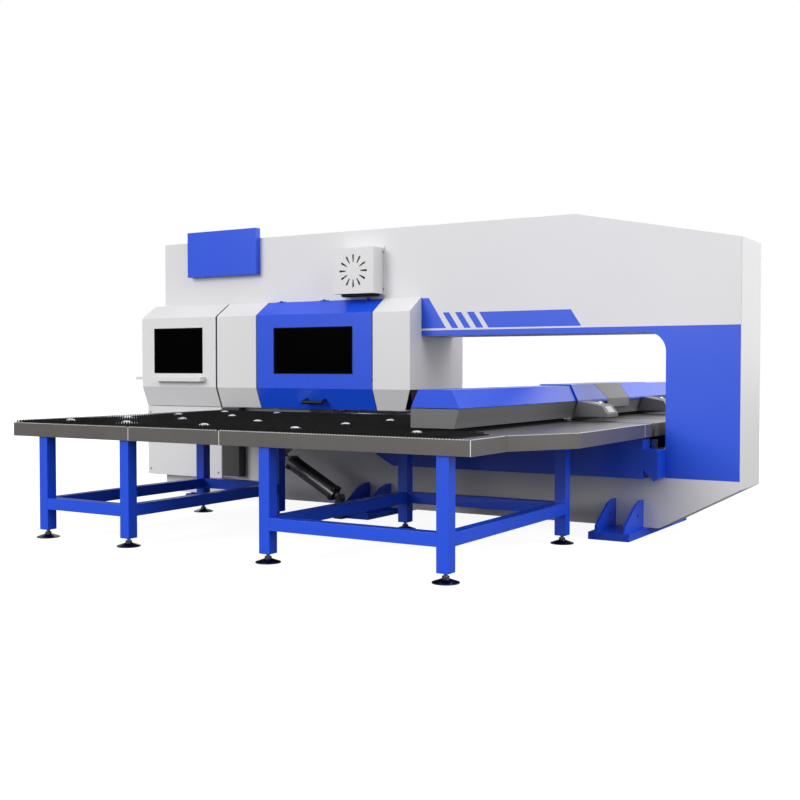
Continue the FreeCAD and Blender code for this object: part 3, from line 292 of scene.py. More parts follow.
# Painted grey iron casting: pitted under its paint.
CASTING = Finish(
    "painted_iron_casting", "#8B8D90", "#7C7E82", Grain.CAST, 6.0, 300.0, roughness=0.6, relief_mm=0.5
)
# Zinc and chrome plated levelling foot: dark mirror with a grey edge.
PLATED = Finish(
    "chrome_plated_steel", "#8E8F93", "#6F7075", Grain.POLISHED, 20.0, 70.0,
    metallic=1.0, roughness=0.16, relief_mm=0.05,
)
# Polished steel of the ball units and the arm catches, with a sharp highlight. Its near-white colour is a
# painted reflection of the white studio.
POLISHED_STEEL_PAINTED_REFLECTION = Finish(
    "polished_steel_painted_reflection", "#F2F3F5", "#E2E3E6", Grain.POLISHED, 20.0, 50.0,
    metallic=0.4, roughness=0.14, relief_mm=0.02,
)
# Clear anodised aluminium tube, drawn lengthwise: pale satin grey.
ANODISED = Finish(
    "clear_anodised_aluminium", "#A2A1A6", "#929196", Grain.BRUSHED, 5.0, 200.0, metallic=0.7, roughness=0.35
)
# Deep black smoked acrylic: it shows almost no reflection.
SMOKED = Finish(
    "smoked_black_acrylic", "#020202", "#010101", Grain.POLISHED, 40.0,
    roughness=0.35, relief_mm=0.01, specular=0.01,
)
# Moulded black nylon of the handle and fan: black with a faint broad sheen.
NYLON = Finish(
    "moulded_black_nylon", "#131314", "#0E0E0F", Grain.MOULDED, 2.5, 60.0, roughness=0.5, specular=0.35
)
# Black brush board and bristles: matt black that swallows the light.
BRISTLE = Finish(
    "extruded_black_bristle", "#141414", "#0B0B0C", Grain.MOULDED, 6.0, 120.0, roughness=0.7, specular=0.15
)
# Black rubber of belts, gaskets and curtains: dull black. On the fan duct and the mouth curtains this black
# is also painted shade, filling gaps that lie in shadow.
RUBBER_AND_PAINTED_SHADE = Finish(
    "moulded_black_rubber_and_painted_shade", "#161616", "#101010", Grain.MOULDED, 3.0, 80.0, roughness=0.75, specular=0.25
)
# Black stoved enamel of the motors: smooth black with a soft highlight.
MOTOR_COAT = Finish(
    "black_stoved_enamel", "#17181A", "#111214", Grain.POWDER, 3.0, 150.0, roughness=0.38, ior=1.5
)
# Pale silver plate on the arm ends: a light patch on the dark arms.
PALE_PLATE = Finish(
    "satin_anodised_plate", "#C9CACC", "#BBBCBF", Grain.BRUSHED, 4.0, 90.0, metallic=0.4, roughness=0.38
)

# Nodes that take each finish
FINISHED_NODES: dict[Finish, str] = {
    BODY_COAT: "frame_plate_near frame_plate_far frame_webs door_hinges beam_core",
    BLUE_COAT: (
        "base_blocks sign_board door_shell table_legs table_rails side_girders beam_cover "
        "carriage_sides"
    ),
    COVER_COAT: "fan_box console_cover console_shelves front_covers far_cover end_panels lower_cabinet",
    # The fan duct's black is partly painted shade: the shadowed gap under the fan box.
    RUBBER_AND_PAINTED_SHADE: "fan_duct turret_belts",
    NYLON: "fan_rotor door_handle",
    SMOKED: "console_screen door_window",
    CASTING: "bearing_housings",
    BRONZE: "bearings",
    MACHINED: (
        "upper_turret_disc upper_spindle lower_turret_disc lower_spindle drive_shaft beam_feet "
        "carriage_plate clamp_bodies"
    ),
    HARDENED: "punch_holders die_holders ram y_guides x_rails clamp_jaws",
    MOTOR_COAT: "servo_drives",
    TABLE_SHEET: (
        "table_near_left table_near_middle table_near_right table_centre table_far_left "
        "table_far_right flap_plate"
    ),
    PLATED: "table_feet cylinder_rod",
    BRISTLE: "brush_mats flap_board",
    # The ball units' near-white colour is a painted reflection of the white studio.
    POLISHED_STEEL_PAINTED_REFLECTION: "ball_units",
    DARK_COAT: "flap_mounts",
    ANODISED: "cylinder_barrel",
    GREY_COAT: "beam_skirt carriage_centre arm_housings",
}
NODE_FINISHES = {node: finish for finish, nodes in FINISHED_NODES.items() for node in nodes.split()}

# Nodes with each width of edge break, in millimetres, left by folding, grinding or flame cutting
BROKEN_EDGES: dict[float, str] = {
    3.0: "frame_plate_near frame_plate_far lower_cabinet table_legs table_rails arm_housings",
    2.5: "sign_board fan_box console_cover front_covers far_cover door_shell side_girders",
    1.2: "end_panels console_shelves",
    2.0: (
        "table_near_left table_near_middle table_near_right table_far_left table_far_right "
        "base_blocks beam_cover beam_skirt"
    ),
    1.5: "carriage_centre carriage_sides clamp_bodies",
}
EDGE_BREAKS = {node: width for width, nodes in BROKEN_EDGES.items() for node in nodes.split()}


# --- mesh helpers ------------------------------------------------------------------------------
class Pile:
    """Vertices and faces of one piece, gathered solid by solid."""

    def __init__(self) -> None:
        """Starts empty."""
        self.points: list[Point3] = []
        self.faces: list[tuple[int, ...]] = []

    def block(self, low: Point3, high: Point3) -> None:
        """Adds a box from its lowest and highest corner in metres."""
        corners = [(low[0], low[1]), (high[0], low[1]), (high[0], high[1]), (low[0], high[1])]
        self.prism([Vector((x, y, low[2])) for x, y in corners], Vector((0, 0, high[2] - low[2])))

    def prism(self, outline: list[Vector], rise: Vector) -> None:
        """Adds a flat outline pushed along a vector.

        Args:
            outline: Corners in order.
            rise: Push from the outline to the opposite face.
        """
        start = len(self.points)
        count = len(outline)
        normal = (outline[1] - outline[0]).cross(outline[2] - outline[1])
        ordered = outline if normal.dot(rise) > 0 else outline[::-1]
        self.points += [tuple(corner) for corner in ordered]
        self.points += [tuple(corner + rise) for corner in ordered]
        self.faces.append(tuple(range(start + count - 1, start - 1, -1)))
        self.faces.append(tuple(range(start + count, start + 2 * count)))
        for index in range(count):
            after = (index + 1) % count
            self.faces.append((start + index, start + after, start + count + after, start + count + index))

    def rod(self, start: Vector, end: Vector, radius: float, sides: int = 24) -> None:
        """Adds a round bar between two points."""
        along = (end - start).normalized()
        side = along.orthogonal().normalized()
        other = along.cross(side)
        outline = []
        for index in range(sides):
            angle = 2 * math.pi * index / sides
            outline.append(start + side * radius * math.cos(angle) + other * radius * math.sin(angle))
        self.prism(outline, end - start)

    def tuft(self, x: float, y: float, low: float, high: float, lean: Point2, width: float) -> None:
        """Adds one tapered bristle bundle.

        Args:
            x: Place of its foot.
            y: Place of its foot.
            low: Height of its foot.
            high: Height of its tip.
            lean: Shift of the tip.
            width: Half the foot's width.
        """
        start = len(self.points)
        for half, dx, dy, z in ((width, 0.0, 0.0, low), (width * 0.75, lean[0], lean[1], high)):
            for sx, sy in ((-1, -1), (1, -1), (1, 1), (-1, 1)):
                self.points.append((x + dx + sx * half, y + dy + sy * half, z))
        for index in range(4):
            after = (index + 1) % 4
            self.faces.append((start + index, start + after, start + 4 + after, start + 4 + index))
        self.faces.append((start + 4, start + 5, start + 6, start + 7))
        self.faces.append((start + 3, start + 2, start + 1, start))

    def piece(
        self, name: str, body: str, finish: Finish, slot: str, edge_mm: float = 0.0
    ) -> bpy.types.Object:
        """Makes the object and hands it to its body.

        Args:
            name: Name of the piece.
            body: Body that it rides on.
            finish: Its finish.
            slot: Name of a material slot of the record; not used.
            edge_mm: Width of its rounded edges.

        Returns:
            The new object.
        """
        mesh = bpy.data.meshes.new(name)
        mesh.from_pydata(self.points, [], self.faces)
        mesh.validate()
        mesh.materials.append(finish.material())
        made = bpy.data.objects.new(name, mesh)
        bpy.context.scene.collection.objects.link(made)
        if edge_mm:
            round_edges(made, edge_mm)
        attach(made, body)
        LOG.info("piece %s on %s: %d faces", name, body, len(self.faces))
        return made


def round_edges(piece: bpy.types.Object, width_mm: float) -> None:
    """Gives an object narrow rounded edges.

    Args:
        piece: The object.
        width_mm: Width of the rounding.
    """
    weld = piece.modifiers.new("weld", "WELD")
    weld.merge_threshold = 0.00005
    bevel = piece.modifiers.new("edge_break", "BEVEL")
    bevel.width = width_mm * MM
    bevel.segments = 2
    bevel.limit_method = "ANGLE"
    bevel.angle_limit = math.radians(28)
    for polygon in piece.data.polygons:
        polygon.use_smooth = False


def middle_x() -> float:
    """Middle of the portal frame along X, in metres."""
    low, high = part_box("frame_plate_near")
    return (low.x + high.x) / 2


# --- sub-assemblies ------------------------------------------------------------------------------
class CadFinishes:
    """Dresses every CAD node with its finish and its edge breaks."""

    def build(self) -> None:
        """Assigns the materials and adds the edge breaks."""
        for name, node in frame["nodes"].items():
            finish = NODE_FINISHES[name]
            node.data.materials.clear()
            node.data.materials.append(finish.material())
            for polygon in node.data.polygons:
                polygon.material_index = 0
            if name in EDGE_BREAKS:
                round_edges(node, EDGE_BREAKS[name])
            LOG.info("node %s takes %s", name, finish.name)


@dataclass
class PaintFields:
    """Blue paint films on both sides of the portal frame, as offsets from its middle and floor.

    Attributes:
        film: Thickness that the film stands proud.
        wedge: Slanted block beside the head cover.
        strip: Lower and upper edge of the narrow band along the throat's upper edge.
        strip_start: Left end of that band.
        bars: Left end and width of each short slanted bar, at its top.
        bar_heights: Lower and upper edge of the bars.
        bar_slant: Shift of a bar's lower end to the right.
        panel: Long slanted panel, left blank.
        column_bottom: Lower edge of the block on the rear column.
        inset: Gap between that block and the plate's rear end.
        arc_steps: Number of chords in the throat's rounded corner.
    """

    film: float = 0.8
    wedge: list[Point2] = field(default_factory=lambda: [(16, 1773), (183, 1773), (342, 1528), (82, 1528)])
    strip: tuple[float, float] = (1469, 1512)
    strip_start: float = 117
    bars: list[Point2] = field(default_factory=lambda: [(312, 58), (423, 56), (530, 62)])
    bar_heights: tuple[float, float] = (1527, 1653)
    bar_slant: float = 86
    panel: list[Point2] = field(
        default_factory=lambda: [(638, 1650), (1411, 1650), (1494, 1525), (722, 1525)]
    )
    column_bottom: float = 420
    inset: float = 2
    arc_steps: int = 8

    def outlines(self, right: float, throat: float, corner: float) -> list[list[Point2]]:
        """Works out every outline on the side plate.

        Args:
            right: Distance from the frame's middle to its rear end.
            throat: Distance from the frame's middle to the throat's rear side.
            corner: Radius of the throat's upper rear corner.

        Returns:
            Outlines as offsets from the frame's middle and heights.
        """
        low, high = self.strip
        shapes = [self.wedge, self.panel]
        for left, width in self.bars:
            bottom, top = self.bar_heights
            shapes.append(
                [
                    (left, top),
                    (left + width, top),
                    (left + width + self.bar_slant, bottom),
                    (left + self.bar_slant, bottom),
                ]
            )
        arc = []
        for step in range(self.arc_steps + 1):
            angle = math.radians(90 - 90 * step / self.arc_steps)
            arc.append((throat - corner + corner * math.cos(angle), low - corner + corner * math.sin(angle)))
        band = [(self.strip_start, high), (self.strip_start, low), *arc, (throat, self.column_bottom)]
        band += [(right - self.inset, self.column_bottom), (right - self.inset, high)]
        shapes.append(band)
        return shapes

    def build(self) -> None:
        """Lays the films on the near and the far side plate."""
        middle = middle_x()
        right = (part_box("frame_plate_near")[1].x - middle) / MM
        for side, node in ((-1, "frame_plate_near"), (1, "frame_plate_far")):
            near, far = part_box(node)
            face = near.y if side < 0 else far.y
            pile = Pile()
            for outline in self.outlines(right, THROAT_REAR, THROAT_CORNER):
                corners = [Vector((middle + u * MM, face, v * MM)) for u, v in outline]
                pile.prism(corners, Vector((0, side * self.film * MM, 0)))
            name = "paint_fields_near" if side < 0 else "paint_fields_far"
            pile.piece(name, "root", BLUE_FILM, "blue_paint")


@dataclass
class BrushField:
    """Black bristle tufts on every brush board, left out round the ball units.

    Attributes:
        near_pitch: Distance between tufts on the door side.
        far_pitch: Distance between tufts on the other side.
        half_width: Half the width of a tuft's foot.
        tip_height: Height of the tips over the board's face.
        ball_clear: Radius kept free round a ball.
        border: Distance from the board's edge to the first tuft.
        margin: Distance from a table section's edge to its board.
        lean: Largest shift of a tip.
        seed: Seed of the tips' shifts.
    """

    near_pitch: float = 25.0
    far_pitch: float = 34.0
    half_width: float = 4.0
    tip_height: float = 14.0
    ball_clear: float = 90.0
    border: float = 8.0
    margin: float = 12.0
    lean: float = 1.6
    seed: int = 7

    def balls(self, node: str) -> list[Vector]:
        """Finds the top of every ball in a node."""
        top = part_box(node)[1].z
        return [v.co.copy() for v in frame["nodes"][node].data.vertices if v.co.z > top - 0.0003]

    def rows(self, low: Point2, high: Point2, pitch: float) -> list[Point2]:
        """Lists the places of a rectangular block of tufts."""
        start_x = low[0] + self.border * MM
        start_y = low[1] + self.border * MM
        across = int((high[0] - low[0] - 2 * self.border * MM) / pitch)
        along = int((high[1] - low[1] - 2 * self.border * MM) / pitch)
        steps = [(i, j) for i in range(across + 1) for j in range(along + 1)]
        return [(start_x + i * pitch, start_y + j * pitch) for i, j in steps]

    def grow(self, name: str, body: str, places: list[Point2], balls: list[Vector], foot: float) -> None:
        """Makes one piece of tufts.

        Args:
            name: Name of the piece.
            body: Body that it rides on.
            places: Feet of the tufts.
            balls: Ball tops to stay clear of.
            foot: Height of the board's face.
        """
        draw = random.Random(self.seed)
        pile = Pile()
        clear = (self.ball_clear * MM) ** 2
        tip = foot + self.tip_height * MM
        for x, y in places:
            lean = (draw.uniform(-1, 1) * self.lean * MM, draw.uniform(-1, 1) * self.lean * MM)
            if all((x - b.x) ** 2 + (y - b.y) ** 2 > clear for b in balls):
                pile.tuft(x, y, foot, tip, lean, self.half_width * MM)
        pile.piece(name, body, BRISTLE, "brush_board")

    def build(self) -> None:
        """Grows tufts on the near boards, the far boards and the flap."""
        balls = self.balls("ball_units") + self.balls("flap_board")
        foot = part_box("brush_mats")[1].z
        margin = self.margin * MM
        reach = BRUSH_END * MM + middle_x()
        corner_x = middle_x() + BRUSH_CORNER[0] * MM
        corner_y = -BRUSH_CORNER[1] * MM
        pitch = self.near_pitch * MM
        places = []
        for low, high in (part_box("table_near_left"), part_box("table_near_middle")):
            places += self.rows((low.x + margin, low.y + margin), (high.x - margin, high.y - margin), pitch)
        self.grow("brush_tufts_near_left", "root", places, balls, foot)
        low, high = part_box("table_near_right")
        places = self.rows((low.x + margin, corner_y), (reach, high.y - margin), pitch)
        places += self.rows((low.x + margin, low.y + margin), (corner_x, corner_y - pitch / 2), pitch)
        self.grow("brush_tufts_near_right", "root", places, balls, foot)
        pitch = self.far_pitch * MM
        low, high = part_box("table_far_left")
        places = self.rows((low.x + margin, low.y + margin), (high.x - margin, high.y - margin), pitch)
        low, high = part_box("table_far_right")
        places += self.rows((low.x + margin, low.y + margin), (reach, -corner_y), pitch)
        places += self.rows((low.x + margin, -corner_y + pitch / 2), (corner_x, high.y - margin), pitch)
        self.grow("brush_tufts_far", "root", places, balls, foot)
        low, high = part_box("flap_board")
        places = self.rows((low.x, low.y), (high.x, high.y), self.near_pitch * MM)
        self.grow("brush_tufts_flap", "flap", places, balls, foot)


@dataclass
class TableTrim:
    """Sheared teeth along the tables' upper edges, and joint strips on their skirts, both near white as
    painted glints.

    Attributes:
        pitch: Distance between teeth.
        lead: Share of a pitch left free before the first tooth.
        tooth: Length, depth and height of a tooth.
        seat: How far a tooth's foot is sunk, and how far it stands out of the skirt.
        shortest: Shortest edge that gets teeth.
        strip: Width and thickness of a joint strip.
        seam: Half the gap between two sections.
        ends: Height of a strip's lower end over the skirt's edge, and of its upper end over the plate.
    """

    pitch: float = 22.0
    lead: float = 0.4
    tooth: Point3 = (12.0, 3.0, 4.5)
    seat: Point2 = (1.0, 0.4)
    shortest: float = 50.0
    strip: Point2 = (5.0, 1.0)
    seam: float = 1.0
    ends: Point2 = (2.0, 0.5)

    def teeth(self, pile: Pile, start: Vector, end: Vector, outward: Vector) -> None:
        """Adds the teeth of one straight edge.

        Args:
            pile: Piece that takes them.
            start: Start of the edge, at the plate's upper face.
            end: End of the edge.
            outward: Direction away from the table.
        """
        along = (end - start).normalized()
        length, depth, height = (size * MM for size in self.tooth)
        sunk, proud = (size * MM for size in self.seat)
        out = outward * (depth + proud)
        for index in range(int((end - start).length / (self.pitch * MM))):
            foot = start + along * (index + self.lead) * self.pitch * MM - outward * depth
            foot = foot - Vector((0, 0, sunk))
            outline = [foot, foot + along * length, foot + along * length + out, foot + out]
            pile.prism(outline, Vector((0, 0, height)))

    def outline(self, node: str) -> list[Vector]:
        """Works out a table section's outer corners, counter-clockwise from its lowest corner."""
        low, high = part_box(node)
        top = high.z
        if not node.endswith("right"):
            corners = [(low.x, low.y), (high.x, low.y), (high.x, high.y), (low.x, high.y)]
            return [Vector((x, y, top)) for x, y in corners]
        side = -1 if node == "table_near_right" else 1
        outer = low.y if side < 0 else high.y
        inner = high.y if side < 0 else low.y
        cut = middle_x() + TABLE_CORNER[0] * MM
        corners = [
            (low.x, inner),
            (low.x, outer),
            (cut, outer),
            (cut, side * TABLE_CORNER[1] * MM),
            (high.x, side * TABLE_CORNER[2] * MM),
            (high.x, inner),
        ]
        return [Vector((x, y, top)) for x, y in corners]

    def build(self) -> None:
        """Adds the teeth and the joint strips."""
        teeth = Pile()
        sections = ("near_left", "near_middle", "near_right", "far_left", "far_right")
        for node in (f"table_{section}" for section in sections):
            corners = self.outline(node)
            centre = sum(corners, Vector()) / len(corners)
            for start, end in zip(corners, corners[1:] + corners[:1]):
                along = (end - start).normalized()
                outward = Vector((along.y, -along.x, 0))
                if outward.dot(start - centre) < 0:
                    outward = -outward
                on_rim = abs(start.y + end.y) / 2 > abs(centre.y) or abs(outward.x) > 0.4
                long_enough = (end - start).length > self.shortest * MM
                if on_rim and long_enough and not self.hidden(node, start, end):
                    self.teeth(teeth, start, end, outward)
        # The teeth's near-white colour is a painted glint along the tables' edges.
        teeth.piece("table_edge_teeth", "root", GLINT_PAINTED_EDGE, "machined_steel")
        self.joints()

    def hidden(self, node: str, start: Vector, end: Vector) -> bool:
        """Tells whether an edge meets another table section."""
        low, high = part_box(node)
        middle = (start.x + end.x) / 2
        at_right = middle > high.x - MM
        at_left = middle < low.x + MM
        meets_right = at_right and node in ("table_near_left", "table_near_middle", "table_far_left")
        meets_left = at_left and node in ("table_near_middle", "table_near_right", "table_far_right")
        return meets_right or meets_left

    def joints(self) -> None:
        """Adds the strips where skirts meet or turn a corner, near white as painted highlights."""
        width, thick = (size * MM for size in self.strip)
        lower, upper = (size * MM for size in self.ends)
        seam = self.seam * MM
        pile = Pile()
        low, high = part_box("table_near_left")
        right_low, right_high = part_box("table_near_right")
        for side, y in ((-1, low.y), (1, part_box("table_far_left")[1].y)):
            seams = [right_low.x - seam, middle_x() + TABLE_CORNER[0] * MM - width / 2]
            if side < 0:
                seams.append(high.x + seam)
            for x in seams:
                outer = y + side * thick
                pile.block(
                    (x - width / 2, min(y, outer), low.z + lower),
                    (x + width / 2, max(y, outer), high.z + upper),
                )
        rear = right_high.x
        for y in (-TABLE_JOINT_Y * MM, TABLE_JOINT_Y * MM):
            pile.block((rear, y - width / 2, low.z + lower), (rear + thick, y + width / 2, high.z))
        # The strips' near-white colour is a painted highlight on the skirts' joints and corners.
        pile.piece("table_joint_strips", "root", GLINT_PAINTED_EDGE, "machined_steel")


@dataclass
class WindowTrim:
    """Rubber gaskets round the door's window and the console's screen.

    Attributes:
        width: Visible width of a gasket.
        proud: How far it stands out of the sheet.
        sunk: How far it reaches into the sheet.
        pane_overlap: How far the pane runs behind the sheet.
    """

    width: float = 6.0
    proud: float = 1.5
    sunk: float = 1.0
    pane_overlap: float = 12.0

    def frame_round(self, pile: Pile, low: Point2, high: Point2, face: float) -> None:
        """Adds four bars round a rectangle.

        Args:
            pile: Piece that takes them.
            low: Lower left corner of the opening, X and Z.
            high: Upper right corner of the opening, X and Z.
            face: Y of the sheet's outer face.
        """
        w = self.width * MM
        y = (face - self.proud * MM, face + self.sunk * MM)
        bars = [
            ((low[0] - w, low[1] - w), (high[0] + w, low[1])),
            ((low[0] - w, high[1]), (high[0] + w, high[1] + w)),
            ((low[0] - w, low[1]), (low[0], high[1])),
            ((high[0], low[1]), (high[0] + w, high[1])),
        ]
        for start, end in bars:
            pile.block((start[0], y[0], start[1]), (end[0], y[1], end[1]))

    def build(self) -> None:
        """Adds both gaskets."""
        edge = self.pane_overlap * MM
        low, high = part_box("door_window")
        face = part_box("console_cover")[0].y
        pile = Pile()
        self.frame_round(pile, (low.x + edge, low.z + edge), (high.x - edge, high.z - edge), face)
        pile.piece("door_window_gasket", "door", RUBBER_AND_PAINTED_SHADE, "belt_rubber")
        low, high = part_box("console_screen")
        pile = Pile()
        self.frame_round(pile, (low.x, low.z), (high.x, high.z), face)
        pile.piece("console_screen_gasket", "root", RUBBER_AND_PAINTED_SHADE, "belt_rubber")


@dataclass
class ArmFittings:
    """Pale plates on the sloped arm ends and the plated catches on top of the arms.

    Attributes:
        arm: Width of an arm.
        slope: Upper and lower corner of the sloped end, from the arms' end and top.
        plate: Length across the arm, length up the slope and thickness.
        plate_drop: Distance of a plate from the slope's upper corner.
        catch: Length, width and height of a catch's foot.
        catch_from: Distance of a catch from the arms' end, and of its foot from their top.
        catch_rise: Height of a catch's body over its foot.
        pin: Share of the catch's length and width that places the pin.
        pin_rise: Height of the pin's axis over the catch's foot.
        pin_radius: Radius of the pin.
    """

    arm: float = 230.0
    slope: tuple[Point2, Point2] = ((-46.0, -32.0), (0.0, -93.0))
    plate: Point3 = (120.0, 54.0, 2.0)
    plate_drop: float = 10.0
    catch: Point3 = (70.0, 46.0, 9.0)
    catch_from: Point2 = (150.0, 34.0)
    catch_rise: float = 12.0
    pin: float = 0.7
    pin_rise: float = 14.0
    pin_radius: float = 6.0

    def build(self) -> None:
        """Adds both pieces to the carriage."""
        low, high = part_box("arm_housings")
        top = high.z
        first = Vector((high.x + self.slope[0][0] * MM, 0, top + self.slope[0][1] * MM))
        second = Vector((high.x + self.slope[1][0] * MM, 0, top + self.slope[1][1] * MM))
        down = (second - first).normalized()
        out = Vector((-down.z, 0, down.x))
        width, length, thick = (size * MM for size in self.plate)
        size_x, size_y, size_z = (size * MM for size in self.catch)
        left = high.x - self.catch_from[0] * MM
        foot = top - self.catch_from[1] * MM
        arm = self.arm * MM
        plates = Pile()
        catches = Pile()
        for start in (low.y, high.y - arm):
            centre = start + arm / 2
            corner = first + down * self.plate_drop * MM
            outline = [
                corner + Vector((0, centre - width / 2, 0)),
                corner + Vector((0, centre + width / 2, 0)),
                corner + down * length + Vector((0, centre + width / 2, 0)),
                corner + down * length + Vector((0, centre - width / 2, 0)),
            ]
            plates.prism(outline, out * thick)
            catches.block(
                (left, centre - size_y / 2, foot),
                (left + size_x, centre + size_y / 2, foot + size_z + self.catch_rise * MM),
            )
            pin_x = left + size_x * self.pin
            pin_z = foot + size_z + self.pin_rise * MM
            catches.rod(
                Vector((pin_x, centre - size_y * self.pin, pin_z)),
                Vector((pin_x, centre + size_y * self.pin, pin_z)),
                self.pin_radius * MM,
            )
        plates.piece("arm_end_plates", "carriage", PALE_PLATE, "machined_steel", 1.0)
        # The catches' near-white colour is a painted reflection of the white studio.
        catches.piece("arm_catches", "carriage", POLISHED_STEEL_PAINTED_REFLECTION, "chrome_foot", 1.0)


@dataclass
class CylinderFittings:
    """Tie rods, sensor rail and cap shells of the flap's cylinder.

    Attributes:
        span: Start and end of the tube, from the foot pin.
        cap: Length of an end cap.
        cap_half: Half the width and half the height of a cap shell.
        cap_wrap: How far a shell reaches past its cap at each end.
        tie: Offset and radius of the tie rods.
        tie_ratio: Offset of the tie rods up the cap, over their offset across it.
        rail: Half the width and the height of the sensor rail.
        rail_lift: Distance of the rail's foot from the tube's axis.
    """

    span: Point2 = (50.0, 560.0)
    cap: float = 34.0
    cap_half: Point2 = (46.6, 55.6)
    cap_wrap: float = 0.6
    tie: Point2 = (38.0, 4.5)
    tie_ratio: float = 1.15
    rail: Point2 = (26.0, 10.0)
    rail_lift: float = 49.0

    def build(self) -> None:
        """Adds the fittings in the cylinder's own directions."""
        joints = {joint["name"]: joint for joint in frame["joints"]}
        foot = Vector(joints["cylinder_pivot"]["pos_m"])
        along = Vector(joints["piston_stroke"]["axis"]).normalized()
        over = Vector((0, 1, 0)).cross(along).normalized()
        side = Vector((0, 1, 0))
        if over.z < 0:
            over = -over
        start, end = (value * MM for value in self.span)
        rods = Pile()
        offset, radius = (value * MM for value in self.tie)
        for a in (-1, 1):
            for b in (-1, 1):
                shift = over * offset * a * self.tie_ratio + side * offset * b
                rods.rod(foot + along * start + shift, foot + along * end + shift, radius, 12)
        rods.piece("cylinder_tie_rods", "barrel", DARK_COAT, "dark_paint")
        rail = Pile()
        width, height = (value * MM for value in self.rail)
        base = foot + along * (start + self.cap * MM) + over * self.rail_lift * MM - side * width
        across = side * 2 * width
        run = along * (end - start - 2 * self.cap * MM)
        rail.prism([base, base + across, base + across + run, base + run], over * height)
        rail.piece("cylinder_sensor_rail", "barrel", NYLON, "handle_plastic", 1.5)
        caps = Pile()
        half_width, half_height = (value * MM for value in self.cap_half)
        across = side * 2 * half_width
        rise = over * 2 * half_height
        wrap = self.cap_wrap * MM
        for low in (start, end - self.cap * MM):
            corner = foot + along * (low - wrap) - over * half_height - side * half_width
            outline = [corner, corner + across, corner + across + rise, corner + rise]
            caps.prism(outline, along * (self.cap * MM + 2 * wrap))
        caps.piece("cylinder_cap_shells", "barrel", MOTOR_COAT, "motor_paint", 3.0)


@dataclass
class Closures:
    """Black rubber curtains and seal at the head's mouth, and the dark face of the service panel. The
    curtains' black is partly painted shade, filling the shaded opening under the head covers.

    The side sheets start at the door's end, so they pass through the upper turret's disc.

    Attributes:
        sheet: Thickness of a curtain.
        low: Height of the curtains' lower edge, over the clamps.
        bend: Height where the covers bend inwards.
        tuck: How far the side sheets reach up behind the covers.
        foot: Half width between the covers at their lower edge, at height 860.
        seal: Thickness and height of the seal on the head's end panel.
        face: Thickness of the service panel's face.
        panel: Left end of the panel from the frame's middle, its front face and its foot.
        panel_clear: Gap round the panel's face, and its gap to the frame's plate.
    """

    sheet: float = 3.0
    low: float = 868.0
    bend: float = 1036.0
    tuck: float = 60.0
    foot: float = 369.0
    seal: Point2 = (1.0, 17.0)
    face: float = 1.0
    panel: Point3 = (-1910.0, -355.0, 236.0)
    panel_clear: Point2 = (4.0, 1.0)

    def build(self) -> None:
        """Hangs the curtains, and lays the seal and the dark face."""
        covers_low, covers_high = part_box("front_covers")
        wide = -covers_low.y - self.sheet * MM
        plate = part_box("frame_plate_near")[0].y
        low, high = self.low * MM, self.bend * MM
        mouth = covers_high.x
        # The curtains' black partly paints the shade of the opening under the head covers.
        curtain = Pile()
        corners = [(-wide, high), (-self.foot * MM, low), (self.foot * MM, low), (wide, high)]
        thick = self.sheet * MM
        curtain.prism([Vector((mouth - thick, y, z)) for y, z in corners], Vector((thick, 0, 0)))
        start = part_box("door_shell")[1].x
        for side in (-1, 1):
            y = side * abs(plate)
            outer = y + side * thick
            curtain.block(
                (start, min(y, outer), low),
                (mouth - thick, max(y, outer), high + self.tuck * MM),
            )
        curtain.piece("mouth_curtains_and_shade", "root", RUBBER_AND_PAINTED_SHADE, "belt_rubber")
        strip = Pile()
        proud, tall = (size * MM for size in self.seal)
        strip.block((mouth, -wide, high), (mouth + proud, wide, high + tall))
        strip.piece("mouth_seal", "root", RUBBER_AND_PAINTED_SHADE, "belt_rubber")
        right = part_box("lower_cabinet")[1].x
        left, front, foot = (value * MM for value in self.panel)
        clear, plate_gap = (value * MM for value in self.panel_clear)
        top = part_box("lower_cabinet")[1].z - clear
        thick = self.face * MM
        panel = Pile()
        panel.block((middle_x() + left + clear, front - thick, foot), (right + thick, front, top))
        panel.block((right, front, foot), (right + thick, plate - plate_gap, top))
        panel.piece("service_panel_face", "root", DARK_COAT, "dark_paint")


